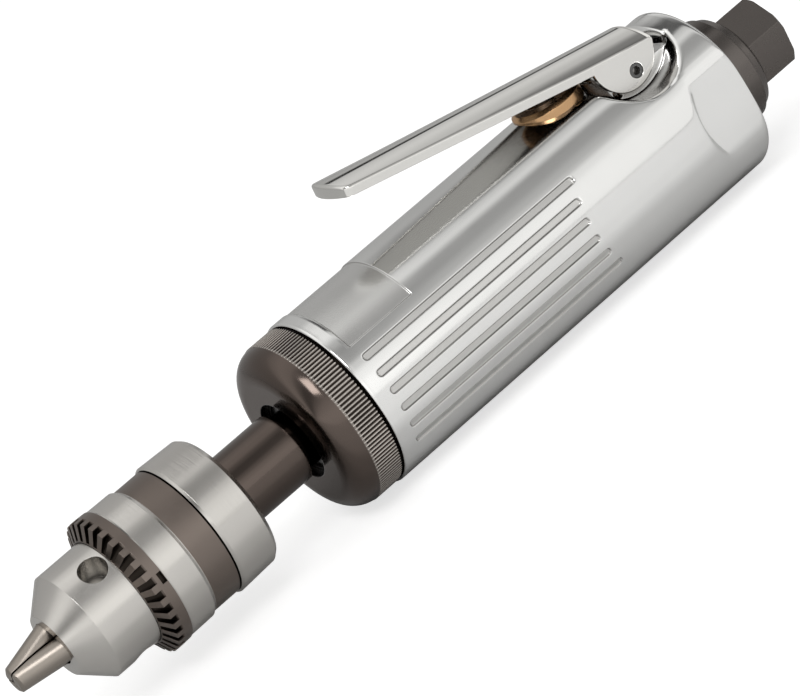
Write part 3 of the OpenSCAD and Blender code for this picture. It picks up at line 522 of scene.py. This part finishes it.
# %% Shares on the cap
def crest_highlight_share(tree):
    """1 on the crests of the knurl, which carry a painted highlight in a light colour."""
    height, behind = knurl_height(tree, *x_and_radius(tree))
    return compute(tree, "MULTIPLY", ramp(tree, height, [(0.45, 0.0), (0.85, 1.0)]), behind)


def valley_and_recess_shade_share(tree):
    """The share of painted shade in the valleys of the knurl, and 1 in the recess round the
    neck.
    """
    x, radius = x_and_radius(tree)
    height, behind = knurl_height(tree, x, radius)
    outside = compute(tree, "MULTIPLY", behind, compute(tree, "GREATER_THAN", radius, INSIDE_R))
    valley = compute(tree, "MULTIPLY", ramp(tree, height, [(0.1, 0.9), (0.5, 0.0)]), outside)
    recess = compute(tree, "MULTIPLY", between(tree, x, *RECESS_X),
                     compute(tree, "LESS_THAN", radius, RECESS_R))
    return compute(tree, "MAXIMUM", valley, recess)


# %% Shares on the sleeve
def slot_shade_share(tree):
    """The share of painted shade in the slots between the teeth and in the notch. It grows with
    the depth in millimetres under the toothed end's skin, whose radius is the smaller of the
    bevel's, which climbs from the front, and the teeth's."""
    x, radius = x_and_radius(tree)
    climbed = compute(tree, "MULTIPLY", compute(tree, "SUBTRACT", x, BEVEL_X), BEVEL_CLIMB)
    skin = compute(tree, "MINIMUM", compute(tree, "ADD", BEVEL_R, climbed), TOOTH_R)
    depth = compute(tree, "DIVIDE", compute(tree, "SUBTRACT", skin, radius), MM)
    return compute(tree, "MULTIPLY", ramp(tree, depth, [(0.10, 0.0), (0.45, 0.9)]),
                   compute(tree, "LESS_THAN", x, SLOTS_END_X))


def sleeve_share(tree):
    """1 on the toothed end and in the rear groove of the chuck's sleeve, which stay dark from
    hardening, and 0 on the ground ring between them."""
    return compute(tree, "SUBTRACT", 1.0, between(tree, object_axes(tree)[0], *GROUND_RING))


# %% [markdown]
# ## The metals
# The chuck is ground steel: bright, but its gloss is broken by the marks of the wheel. The
# nose and the spindle are blacked against rust, which leaves a warm dark brown. The barrel is
# polished aluminium, and the lever is nickel plated, which is the brightest of all. Only
# colour, gloss and marks change from one to the next, so each is one call of the recipe.

# %% Metals
# A thousandth of a millimetre, for the depth of marks.
UM = 1e-6
steel = metal("ground steel", (0.64, 0.62, 0.59), 0.20, TURNED, 0.0004, 14 * UM, 0.05,
              edge=0.00014, corner_shade_colour=(0.04, 0.035, 0.03), reach=0.004)
sleeve_steel = metal("sleeve steel", (0.64, 0.62, 0.59), 0.21, TURNED, 0.0004, 14 * UM, 0.05,
                     edge=0.00014, corner_shade_colour=(0.018, 0.014, 0.011), reach=0.0035,
                     second=(sleeve_share, (0.20, 0.168, 0.148), 0.12), line=slot_shade_share)
jaw_steel = metal("jaw steel", (0.34, 0.305, 0.27), 0.36, HANDLING, 0.0003, 6 * UM, 0.05,
                  corner_shade_colour=(0.05, 0.04, 0.033))
# Black oxide: the second finish paints a highlight on the knurl's crests, the line paints shade
# into its valleys and the neck's recess, and the long reach paints shade in its corners.
oxide = metal("black oxide", (0.120, 0.096, 0.084), 0.16, TURNED, 0.0005, 1.5 * UM, 0.04,
              edge=0.0004, corner_shade_colour=(0.008, 0.006, 0.005), reach=0.0045,
              second=(crest_highlight_share, (0.60, 0.56, 0.52), 0.06), line=valley_and_recess_shade_share)
phosphate = metal("dark phosphate", (0.150, 0.135, 0.126), 0.28, HANDLING, 0.0004, 4 * UM, 0.08,
                  edge=0.0004, corner_shade_colour=(0.02, 0.018, 0.016))
aluminium = metal("polished aluminium", (0.87, 0.87, 0.86), 0.11, HANDLING, 0.0005, 1.5 * UM,
                  0.03, edge=0.0, corner_shade_colour=(0.12, 0.11, 0.10), reach=0.004,
                  second=(satin_share, (0.62, 0.615, 0.60), 0.24), line=groove_line)
# The long reach paints shade on the lever's underside and on its ears in the pockets.
nickel = metal("bright nickel", (0.80, 0.79, 0.765), 0.07, HANDLING, 0.0006, 0.4 * UM, 0.02,
               edge=0.0, corner_shade_colour=(0.09, 0.075, 0.065), reach=0.012)
brass = metal("turned brass", (0.62, 0.38, 0.20), 0.26, TURNED, 0.0003, 4 * UM, 0.06,
              corner_shade_colour=(0.06, 0.04, 0.02))
machined = metal("machined steel", (0.56, 0.56, 0.56), 0.28, TURNED, 0.0003, 4 * UM, 0.05)
iron = metal("machined iron", (0.36, 0.36, 0.355), 0.38, TURNED, 0.0004, 6 * UM, 0.06)
bearing = metal("bearing steel", (0.70, 0.70, 0.70), 0.12, TURNED, 0.0006, 1 * UM, 0.04)
pin_steel = metal("oiled pin", (0.14, 0.14, 0.14), 0.35, HANDLING, 0.0003, 3 * UM, 0.05,
                  corner_shade_colour=(0.01, 0.01, 0.01))
print("metals:", len(bpy.data.materials))


# %% [markdown]
# ## Softer materials, and what each solid wears
# The seals are rubber, the gasket is paper and the vanes are cloth set in resin. They sit
# inside the tool, so one plain recipe with a speckled colour does for them. Then each solid
# gets its material by name, and what has no name in the list is machined steel.

# %% Softer materials
def plain(name, colour, rough, scale, contrast=0.25, bump=20 * UM):
    """A non-metal with a speckled colour and a fine rough skin."""
    material, tree, shader = new_material(name)
    speck = stretched_noise(tree, *scaled(tree, object_axes(tree), scale), detail=4.0,
                            rough=0.6)
    dark = tuple(c * (1 - contrast) for c in colour)
    tree.links.new(mix_colour(tree, speck, dark, colour), shader.inputs["Base Color"])
    shader.inputs["Roughness"].default_value = rough
    height = add(tree, "ShaderNodeBump")
    height.inputs["Distance"].default_value = bump
    tree.links.new(speck, height.inputs["Height"])
    tree.links.new(height.outputs[0], shader.inputs["Normal"])
    return material


rubber = plain("oil seal rubber", (0.035, 0.035, 0.037), 0.6, 2500)
gasket = plain("gasket paper", (0.16, 0.16, 0.15), 0.85, 3000)
vane = plain("vane laminate", (0.36, 0.22, 0.12), 0.5, 1800, 0.4)

# %% Finishes by solid
FINISH = {
    steel: ["chuck_body"],
    sleeve_steel: ["chuck_sleeve"],
    jaw_steel: ["jaw_1", "jaw_2", "jaw_3"],
    oxide: ["front_cap", "spindle"],
    phosphate: ["inlet_bushing"],
    aluminium: ["housing"],
    nickel: ["lever"],
    brass: ["valve_cap", "valve_seat"],
    pin_steel: ["lever_pin"],
    bearing: [f"{place}_bearing_{part}"
              for place in ("front", "middle", "rotor_front", "rotor_rear")
              for part in ("outer", "inner", "balls")],
    iron: ["front_end_plate", "rear_end_plate", "cylinder_liner"],
    rubber: ["spindle_seal", "plunger_seal_ring", "inlet_seal_ring"],
    gasket: ["motor_gasket"],
    vane: ["vanes"],
}
finish_of = {node: material for material, names in FINISH.items() for node in names}
for name, node in nodes.items():
    node.data.materials.clear()
    node.data.materials.append(finish_of.get(name, machined))
print("finishes given to", len(nodes), "solids")

# %% [markdown]
# ## Fine surfaces
# A lathe, a mill or a press leaves a surface that can be written down as a short formula, so
# each rebuilt piece is a grid of points from one. Modifiers could round a rough shape too,
# but a formula puts the points where the curves need them. They are in millimetres in the
# tool's own frame, where X is the axis and angles turn from the near side towards the lever.

# %% Grid helpers
def polar(x, r, a):
    """Points at x and radius r, turned by the angle a from -Y towards +Z."""
    x, r, a = np.broadcast_arrays(x, r, a)
    return np.stack([x, -r * np.cos(a), r * np.sin(a)], -1)


def ring_faces(rows, columns):
    """Four-sided faces of a grid that closes on itself both ways."""
    here = np.arange(rows * columns).reshape(rows, columns)
    side = np.roll(here, -1, 1)
    return np.stack([here, side, np.roll(side, -1, 0), np.roll(here, -1, 0)], -1).reshape(-1, 4)


def outward(points, faces):
    """The faces in the order that makes the closed surface face outward: each face a, b, c, d
    adds a . (b x c + c x d), and the sum is six times the volume, so it has to be positive."""
    a, b, c, d = (points[faces[:, k]] for k in range(4))
    volume = np.einsum("ij,ij->", a, np.cross(b, c) + np.cross(c, d))
    return faces if volume > 0 else faces[:, ::-1]


def make_piece(name, points, faces, material, body, stands_for, **values):
    """A smooth mesh in place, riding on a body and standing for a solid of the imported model.
    Further values are kept as point attributes."""
    points = np.asarray(points, float).reshape(-1, 3)
    faces = outward(points, faces)
    mesh = bpy.data.meshes.new(name)
    mesh.vertices.add(len(points))
    mesh.vertices.foreach_set("co", (points * MM).ravel())
    mesh.loops.add(faces.size)
    mesh.loops.foreach_set("vertex_index", faces.ravel())
    mesh.polygons.add(len(faces))
    mesh.polygons.foreach_set("loop_start", np.arange(0, faces.size, 4))
    mesh.polygons.foreach_set("use_smooth", np.ones(len(faces), bool))
    mesh.update(calc_edges=True)
    for label, value in values.items():
        field = mesh.attributes.new(label, "FLOAT", "POINT")
        field.data.foreach_set("value", np.asarray(value, float).ravel())
    mesh.materials.append(material)
    piece = bpy.data.objects.new(name, mesh)
    bpy.context.scene.collection.objects.link(piece)
    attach(piece, body)
    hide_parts(stands_for)
    print(f"{name}: {len(points)} points, {2 * len(faces)} triangles,",
          f"{np.ptp(points, 0).round(1)} mm")


def step(value, low, high):
    """0 below low, 1 above high, and the climb 3 t squared - 2 t cubed between them."""
    t = np.clip((value - low) / (high - low), 0, 1)
    return t * t * (3 - 2 * t)


def soft_max(a, b, k):
    """The larger of two fields, with the corner between them rounded over about k: half of
    a + b + the root of (a - b) squared plus k squared."""
    return 0.5 * (a + b + np.sqrt((a - b) ** 2 + k * k))


# %% [markdown]
# ## The housing
# The real housing is an aluminium barrel, turned and polished. A ball-nosed cutter has run
# six long finger grooves down each side, a round cutter has sunk a pocket on each side of the
# lever's pin, and two wrench flats are milled at the back. One way is to cut these shapes out
# with booleans, but a boolean leaves knife edges, and the photograph shows soft ones. Here the
# skin is one surface over the angle and the length. Its radius is the outermost place on each
# ray where a smooth field is zero, so that every corner comes out rounded.

# %% Housing sizes
BARREL_R = 22.9
FRONT_X, REAR_X = -144.5, -22.0
FRONT_ROUND, REAR_ROUND = 0.5, 2.0
PIN_X, PIN_Z = -40.0, 18.1
POCKET_X, POCKET_Z, POCKET_R = -40.3, 26.2, 13.4
WEB_Y = 9.3
ROOM_R, ROOM_GAP, BOSS_R = 11.4, 0.5, 5.0
SLOT_X, SLOT_HALF, SLOT_Z = -51.6, 5.6, 15.1
FLAT_X, FLAT_Y, FLAT_R = -21.1, 20.1, 17.0
# The rounding inside a cut's own corners, and where the cut meets the barrel.
CUT_ROUND, RIM_ROUND = 0.3, 0.35
FLAT_CUT_ROUND, FLAT_RIM_ROUND = 1.0, 1.2
# Two circles on the front face, then x and radius of each corner from the rear face inwards:
# the inlet's bore, the air's way, the motor's room and the front thread.
FACE_RADII = (20.72, 22.3)
BORES = [(REAR_X, 18.0), (REAR_X, 10.6), (-22.3, 10.55), (-34.0, 10.55), (-34.0, 5.0),
         (-71.4, 5.0), (-71.4, 20.0), (-134.2, 20.0), (-134.2, 20.72)]
print("barrel:", 2 * BARREL_R, "mm across and", REAR_X - FRONT_X, "mm long")


def cut_fields(x, y, z):
    """Fields of the milled cuts, negative inside a cut, with the rounding of each: the ear
    pockets, the lever's room around the boss, the slot in front of that room, and the flats.
    Each is the distance to a circle or a line, cut short by further lines."""
    round_pin = np.hypot(x - PIN_X, z - PIN_Z)
    pocket = np.hypot(x - POCKET_X, z - POCKET_Z) - POCKET_R
    pocket = soft_max(pocket, WEB_Y - abs(y), CUT_ROUND)
    room = soft_max(round_pin - ROOM_R, abs(y) - WEB_Y - ROOM_GAP, CUT_ROUND)
    room = soft_max(soft_max(room, PIN_Z - z, CUT_ROUND), BOSS_R - round_pin, CUT_ROUND)
    slot = np.maximum(np.maximum(abs(x - SLOT_X) - SLOT_HALF, abs(y) - WEB_Y), SLOT_Z - z)
    flats = soft_max(FLAT_Y - abs(y), np.hypot(x - FLAT_X, z) - FLAT_R, FLAT_CUT_ROUND)
    return [(pocket, RIM_ROUND), (room, RIM_ROUND), (slot, CUT_ROUND), (flats, FLAT_RIM_ROUND)]


# %% Housing field
STEP_IN, STEPS, HALVINGS = 0.2, 60, 14


def barrel_radius(x):
    """The turned radius along the barrel, with a quarter circle at the rear end."""
    over = np.clip(x - (REAR_X - REAR_ROUND), 0, REAR_ROUND)
    return BARREL_R - REAR_ROUND + np.sqrt(REAR_ROUND ** 2 - over * over)


def housing_field(x, r, a):
    """Smooth field of the housing, negative inside the metal: the barrel less its cuts."""
    y, z = -r * np.cos(a), r * np.sin(a)
    field = r - barrel_radius(x)
    for cut, k in cut_fields(x, y, z):
        field = soft_max(field, -cut, k)
    return field


def outermost(x, a):
    """Radius of the outermost zero of the field on each ray: coarse steps in, then halving."""
    outer = barrel_radius(x) + 1.5 * STEP_IN
    inner = outer.copy()
    found = np.zeros(x.shape, bool)
    for _ in range(STEPS):
        trial = inner - STEP_IN
        inside = housing_field(x, trial, a) < 0
        outer = np.where(found | inside, outer, trial)
        inner = np.where(found, inner, trial)
        found |= inside
    for _ in range(HALVINGS):
        middle = 0.5 * (outer + inner)
        inside = housing_field(x, middle, a) < 0
        inner, outer = np.where(inside, middle, inner), np.where(inside, outer, middle)
    return 0.5 * (outer + inner)


# %% Grooves and the band
GROOVE_COUNT, GROOVE_PITCH, GROOVE_DEPTH = 6, 12.2, 0.5
MIDDLE = (GROOVE_COUNT - 1) / 2
GROOVES = [side + (k - MIDDLE) * GROOVE_PITCH for side in (0, 180) for k in range(GROOVE_COUNT)]
GROOVE_X, GROOVE_LEN, GROOVE_MORE = -140.3, 64.05, 0.55
BED_HALF, GROOVE_HALF = 0.70, 1.1
# Each end of the band as the places, or the angles in degrees, where its wall starts and ends.
BAND_DEPTH, BAND_SATIN = 0.3, 0.6
BAND_FRONT, BAND_REAR = (-140.6, -140.3), (-121.1, -120.8)
BAND_NEAR, BAND_FAR = (40.6, 41.4), (138.6, 139.4)
print("grooves:", len(GROOVES), "from x", GROOVE_X, "mm")


def groove_share(x, a):
    """1 on the floor of a finger groove and 0 outside it, with steep soft walls. A groove is a
    straight slot with round ends: its share steps down with the distance from its middle
    line. A groove k places from the middle of its side reaches GROOVE_MORE times k squared
    further back."""
    share = np.zeros(np.broadcast(x, a).shape)
    for i, middle in enumerate(GROOVES):
        k = abs(i % GROOVE_COUNT - MIDDLE)
        stop = GROOVE_X + GROOVE_LEN + GROOVE_MORE * k * k
        turned = np.mod(a - math.radians(middle) + math.pi, 2 * math.pi) - math.pi
        ahead, behind = GROOVE_X + GROOVE_HALF - x, x - stop + GROOVE_HALF
        beyond = np.maximum(np.maximum(ahead, behind), 0)
        away = np.hypot(BARREL_R * turned, beyond)
        share = np.maximum(share, 1 - step(away, BED_HALF, GROOVE_HALF))
    return share


def band_share(x, a):
    """1 on the shallow satin band around the front of the top, and 0 outside it."""
    along = step(x, *BAND_FRONT) * (1 - step(x, *BAND_REAR))
    turned = np.degrees(np.mod(a + math.pi / 2, 2 * math.pi)) - 90
    return along * step(turned, *BAND_NEAR) * (1 - step(turned, *BAND_FAR))


# %% Housing grid
# Degrees from a groove's middle line to the lines of the grid on its wall, and from a border
# of the band to those at the border.
GROOVE_LINES = (1.5, 1.75, 2.1, 2.45, 2.8, 3.1)
BAND_LINES = (-0.5, -0.2, 0.2, 0.5)
LEAST_APART = 0.14
# Where rows of the grid start and stop along X, and how far apart they are: the front, the
# grooves' front ends, the band, its rear edge, the grooves, their rear ends, the plain barrel,
# the pockets and the rear.
STRETCHES = [(-143.8, -140.7, 0.8), (-140.7, -138.6, 0.15), (-138.4, -121.4, 2.4),
             (-121.2, -120.6, 0.1), (-120.4, -77.4, 2.4), (-77.2, -72.0, 0.28),
             (-71.5, -58.6, 1.4), (-58.0, -26.0, 0.38), (-25.9, -24.0, 0.6)]
# The rows that follow the pocket's rim, the half width that they start from, and the least
# half width that they are drawn to.
RIM_X, RIM_HALF, LEAST_HALF = (-58.0, -26.0), 10.0, 5.0


def housing_columns():
    """Angles of the grid: every 2 degrees, closer on groove walls, pockets and band ends. A
    line within LEAST_APART of the one before it is left out."""
    walls = [g + s * o for g in GROOVES for s in (-1, 1) for o in GROOVE_LINES]
    borders = [(low + high) / 2 + o for low, high in (BAND_NEAR, BAND_FAR) for o in BAND_LINES]
    parts = [np.arange(-90, 270, 2.0), walls, np.arange(36, 72, 0.5), np.arange(108, 144, 0.5),
             borders]
    turned = np.sort(np.mod(np.concatenate(parts) + 90, 360))
    return np.radians(turned[np.append(True, np.diff(turned) > LEAST_APART)] - 90)


def follow_rims(x, a):
    """Shifts the rows between the ends of RIM_X so that two of them run along the rim of the
    pocket, or of the lever's room, at every angle. Seen from the side both rims are circles,
    so the half width is the root of the radius squared less the height squared."""
    top = BARREL_R * np.sin(a)
    at_room = abs(BARREL_R * np.cos(a)) < WEB_Y + ROOM_GAP
    squared = np.where(at_room, ROOM_R ** 2 - (top - PIN_Z) ** 2,
                       POCKET_R ** 2 - (top - POCKET_Z) ** 2)
    half = np.sqrt(np.maximum(squared, LEAST_HALF ** 2))
    places = [RIM_X[0], POCKET_X - RIM_HALF, POCKET_X + RIM_HALF, RIM_X[1]]
    moved = [RIM_X[0], POCKET_X - half, POCKET_X + half, RIM_X[1]]
    out = np.broadcast_to(x, half.shape).astype(float)
    for k in range(3):
        t = (x - places[k]) / (places[k + 1] - places[k])
        out = np.where((t >= 0) & (t <= 1), moved[k] + t * (moved[k + 1] - moved[k]), out)
    return out


# %% Housing
GROOVE_LINE, BAND_LINE = 3.2, 2.4


def make_housing():
    """Loops of points: front face, rounded front edge, skin, rounded rear end, rear face, and
    the bores, joined into one closed surface. The points of the skin carry the share of satin
    finish, and that of a dark outline, which is share times (1 - share), so it peaks on the
    walls of grooves and band."""
    a = housing_columns()[None, :]
    x = np.concatenate([np.arange(*stretch) for stretch in STRETCHES])[:, None]
    near_rims = (x > RIM_X[0]) & (x < RIM_X[1])
    x = np.where(near_rims, follow_rims(x, np.broadcast_to(a, (len(x), a.size))), x)
    grooves, band = groove_share(x, a), band_share(x, a)
    r = outermost(x + 0 * a, a + 0 * x) - GROOVE_DEPTH * grooves - BAND_DEPTH * band
    skin = polar(x, r, a)
    turn = np.radians(np.linspace(0, 90, 5))
    front = polar((FRONT_X + FRONT_ROUND - FRONT_ROUND * np.cos(turn))[:, None],
                  (BARREL_R - FRONT_ROUND + FRONT_ROUND * np.sin(turn))[:, None], a)
    face = polar(FRONT_X, np.array(FACE_RADII)[:, None], a)
    turn = np.radians(np.linspace(0, 90, 10))[1:]
    end_x = (REAR_X - REAR_ROUND + REAR_ROUND * np.sin(turn))[:, None]
    end_r = outermost(end_x + 0 * a, a + 0 * end_x)
    end_r[-1] = np.minimum(end_r[-1], BARREL_R - REAR_ROUND)
    rear = polar(end_x, end_r, a)
    inner = polar(*(np.array(column)[:, None] for column in zip(*BORES)), a)
    grid = np.concatenate([face, front, skin, rear, inner])
    satin, outline = np.zeros((2, *grid.shape[:2]))
    first = len(face) + len(front)
    on_skin = slice(first, first + len(skin))
    satin[on_skin] = np.maximum(grooves, BAND_SATIN * band)
    outline[on_skin] = np.maximum(GROOVE_LINE * grooves * (1 - grooves),
                                  BAND_LINE * band * (1 - band))
    make_piece("housing_skin", grid, ring_faces(*grid.shape[:2]), aluminium, "tool_body",
               "housing", satin=satin, outline=outline)


make_housing()

# %% [markdown]
# ## The lever
# The real lever is pressed from steel sheet 1.3 mm thick and nickel plated. Its top is crowned
# like a roof tile: high at the pin end and nearly flat at the tip. The long edges and the tip
# are rolled down, and at the pin two round ears stand beside the web. A flat sheet with
# Solidify and Bevel modifiers comes close, but its roll wouldn't follow the crown. Here the
# top is a grid from the crown's middle line out to the edge, over the roll and down the wall,
# and back inside. Each ear is a grid of rings around the pin hole.

# %% Lever sizes and plan
# Along the plate: its rear corner, where the taper starts, and how far the tip reaches from
# the pin. TIP_ARC and TIP_CORNER are radii, and GATHER draws the points towards the tip.
REAR_S, TAPER_S, REACH = -6.2, 12.0, 82.0
TIP_ARC, TIP_CORNER, GATHER = 20.0, 2.5, 1.3
LEVER_W, TIP_W = 21.6, 17.6
# Heights above the pin: the edge of the top, the crown's rise at the rear and at the tip, and
# the foot of the wall, which leans in by FOOT_TUCK.
EDGE_H, CROWN_REAR, CROWN_TIP = 5.8, 3.0, 0.9
WALL_FOOT, FOOT_TUCK = 3.4, 0.18
SHEET, ROLL_R = 1.3, 0.75
LIFT = math.radians(12.7)
# The ears: the radius and middle of their round, and the line h = FOLD_H - FOLD_FALL s on
# which the sheet is folded down to them.
EAR_R, EAR_S, EAR_H = 9.0, 2.336, 4.907
FOLD_H, FOLD_FALL = 5.75, 0.0406
print("lever:", REACH, "mm from the pin to the tip,", LEVER_W, "mm wide")


def lever_frame(s, y, h):
    """Points at s forward along the plate from the pin, y across and h above the pin."""
    s, y, h = np.broadcast_arrays(s, y, h)
    return np.stack([PIN_X - s * math.cos(LIFT) + h * math.sin(LIFT), y,
                     PIN_Z + s * math.sin(LIFT) + h * math.cos(LIFT)], -1)


def half_plan(count):
    """The near half of the plate's outline, from the rear corner to the middle of the tip: a
    straight part, a taper, a small corner and a wide arc that touches it. It is cut into
    stretches that get shorter towards the tip, with an outward normal at each point."""
    half_tip = TIP_W / 2
    arc_s, corner_y = REACH - TIP_ARC, half_tip - TIP_CORNER
    corner_s = arc_s + math.sqrt((TIP_ARC - TIP_CORNER) ** 2 - corner_y ** 2)
    lean = math.atan2(corner_y, corner_s - arc_s)
    corner = np.linspace(math.pi / 2, lean, 12)
    arc = np.linspace(lean, 0, 14)[1:]
    s = np.concatenate([[REAR_S, TAPER_S], corner_s + TIP_CORNER * np.cos(corner),
                        arc_s + TIP_ARC * np.cos(arc)])
    y = np.concatenate([[LEVER_W / 2, LEVER_W / 2], corner_y + TIP_CORNER * np.sin(corner),
                        TIP_ARC * np.sin(arc)])
    run = np.concatenate([[0], np.cumsum(np.hypot(np.diff(s), np.diff(y)))])
    places = run[-1] * (1 - (1 - np.linspace(0, 1, count)) ** GATHER)
    s, y = np.interp(places, run, s), np.interp(places, run, y)
    ds, dy = np.gradient(s), np.gradient(y)
    length = np.hypot(ds, dy)
    ns, ny = -dy / length, ds / length
    ns[-1], ny[-1] = 1.0, 0.0
    return s, y, ns, ny


def crown(s, y):
    """Height of the plate's top face: a parabola across, whose rise falls towards the tip."""
    t = np.clip((s + EAR_R) / (REACH + EAR_R), 0, 1)
    half = LEVER_W / 2 + (TIP_W - LEVER_W) / 2 * t
    rise = CROWN_REAR + (CROWN_TIP - CROWN_REAR) * t
    return EDGE_H + rise * (1 - (y / half) ** 2)


# %% Lever plate
# The last TIP_ZONE of the outline fans out from a stretch of the crown's middle line that is
# FAN long, and over SHIFT the rear end is drawn back to the round of the ears.
TIP_ZONE, FAN, SHIFT = 13.0, 4.0, 5.0
OUTLINE_POINTS, TINY = 110, 0.01


def plate_side(inset):
    """Rows of (s, y, h) from the crown's middle line to the foot of the wall, for the near
    half; inset is 0 for the outside and the sheet's thickness for the inside. The roll starts
    at the crown's slope and turns from there to straight down."""
    s, y, ns, ny = half_plan(OUTLINE_POINTS)
    roll = ROLL_R - 0.5 * inset
    slope = -(crown(s + TINY * ns, y + TINY * ny) - crown(s, y)) / TINY
    lean = np.arctan(np.maximum(slope, 0.02))
    back = inset + roll * (1 - np.sin(lean))
    edge_s, edge_y = s - back * ns, y - back * ny
    zone = REACH - TIP_ZONE
    mid_s = np.where(s < zone, s, zone + FAN * (s - zone) / (REACH - zone))
    rows = []
    for t in np.linspace(0, 1, 14):
        rs, ry = mid_s + (edge_s - mid_s) * t, edge_y * t
        rows.append((rs, ry, crown(rs, ry) - inset))
    edge_h = rows[-1][2]
    for q in np.linspace(0, 1, 8)[1:]:
        turn = lean + (math.pi / 2 - lean) * q
        out = roll * (np.sin(turn) - np.sin(lean))
        down = roll * (np.cos(lean) - np.cos(turn))
        rows.append((edge_s + out * ns, edge_y + out * ny, edge_h - down))
    foot_s, foot_y, foot_h = rows[-1]
    for q in (0.1, 0.5, 0.9, 1.0):
        tuck = FOOT_TUCK * q
        rows.append((foot_s - tuck * ns, foot_y - tuck * ny, foot_h + (WALL_FOOT - foot_h) * q))
    return np.array(rows)


def join_halves(rows):
    """The near half and its mirror image side by side, as points in the tool's frame. The
    rear end follows the circle of the ears: EAR_S less the root of EAR_R squared less the
    height above EAR_H squared."""
    s, y, h = rows[:, 0], rows[:, 1], rows[:, 2]
    y = -y
    rear = EAR_S - np.sqrt(EAR_R ** 2 - (np.clip(h, 0, 9) - EAR_H) ** 2)
    s = s + (rear - REAR_S) * np.clip(1 - (s - REAR_S) / SHIFT, 0, 1)
    s = np.concatenate([s, s[:, -2::-1]], 1)
    y = np.concatenate([y, -y[:, -2::-1]], 1)
    h = np.concatenate([h, h[:, -2::-1]], 1)
    return lever_frame(s, y, h)


def plate_faces(rows, columns):
    """Faces of the outside, the inside, the foot and the rear cut. The first row of each side
    is the middle line, where the two halves share their points."""
    here = np.arange(rows * columns).reshape(rows, columns)
    here[0, columns // 2 + 1:] = here[0, :columns // 2][::-1]
    inside = here + rows * columns
    inside[0] = here[0] + rows * columns

    def cells(grid):
        """One face for each four points that meet in the grid."""
        return np.stack([grid[:-1, :-1], grid[:-1, 1:], grid[1:, 1:], grid[1:, :-1]],
                        -1).reshape(-1, 4)

    def strip(a, b):
        """One face between each two neighbours of one line and the same two of the other."""
        return np.stack([a[:-1], a[1:], b[1:], b[:-1]], -1)

    return np.concatenate([
        cells(here), cells(inside)[:, ::-1], strip(inside[-1], here[-1])[:, ::-1],
        strip(here[:, 0], inside[:, 0])[:, ::-1], strip(inside[:, -1], here[:, -1])[:, ::-1]])


# %% Lever ears
PIN_HOLE_R, EAR_ROUND, HOLE_ROUND = 1.8, 0.35, 0.22
LEAST_RISE, FAR = 0.05, 99.0


def ear_outline(turn):
    """Distance from the pin to the ear's edge, which is the smaller of two with a soft corner:
    the ear's round below, from the circle's equation, and the fold line above."""
    cs, sn = np.cos(turn), np.sin(turn)
    along = cs * EAR_S + sn * EAR_H
    disc = along + np.sqrt(along ** 2 - EAR_S ** 2 - EAR_H ** 2 + EAR_R ** 2)
    rise = sn + FOLD_FALL * cs
    fold = np.where(rise > LEAST_RISE, FOLD_H / np.maximum(rise, LEAST_RISE), FAR)
    return 0.5 * (disc + fold - np.sqrt((disc - fold) ** 2 + 0.3))


def ear_points(side):
    """Rings around the pin: the hole's wall, the outer face, the rounded edge and the inner
    face. side is -1 for the near ear and 1 for the far one."""
    turn = np.linspace(0, 2 * math.pi, 180, endpoint=False)[None, :]
    edge = ear_outline(turn)
    outer = LEVER_W / 2
    rings = [(PIN_HOLE_R, outer - SHEET), (PIN_HOLE_R, outer - HOLE_ROUND),
             (PIN_HOLE_R + 0.07, outer - 0.07), (PIN_HOLE_R + HOLE_ROUND, outer)]
    first, last = PIN_HOLE_R + 0.4, edge - EAR_ROUND - 0.05
    rings += [(first + t * (last - first), outer) for t in np.linspace(0, 1, 8)]
    for q in np.radians(np.linspace(0, 90, 6)):
        rings.append((edge - EAR_ROUND + EAR_ROUND * np.sin(q),
                      outer - EAR_ROUND + EAR_ROUND * np.cos(q)))
    rings += [(edge, outer - SHEET)]
    r = np.concatenate([np.broadcast_to(p, turn.shape) for p, _ in rings])
    y = np.array([q for _, q in rings])[:, None]
    return lever_frame(r * np.cos(turn), side * y, r * np.sin(turn))


def make_lever():
    """The plate and the two ears as one piece of three closed surfaces."""
    outer, inner = join_halves(plate_side(0.0)), join_halves(plate_side(SHEET))
    rows, columns = outer.shape[:2]
    points = [outer.reshape(-1, 3), inner.reshape(-1, 3)]
    faces = [outward(np.concatenate(points), plate_faces(rows, columns))]
    count = 2 * rows * columns
    for side in (-1, 1):
        ear = ear_points(side)
        flat = ear.reshape(-1, 3)
        faces.append(outward(flat, ring_faces(*ear.shape[:2])) + count)
        points.append(flat)
        count += len(flat)
    make_piece("lever_sheet", np.concatenate(points), np.concatenate(faces), nickel, "lever",
               "lever")


make_lever()

# %% [markdown]
# ## Sizes and the end
# Fine surfaces have to keep the size of the solids that they stand for. The box round the
# imported model was measured when the frame was loaded, and it is printed here.

# %% Sizes and the end
print("CAD box", [round(v * 1000, 1) for c in cad_box for v in c])
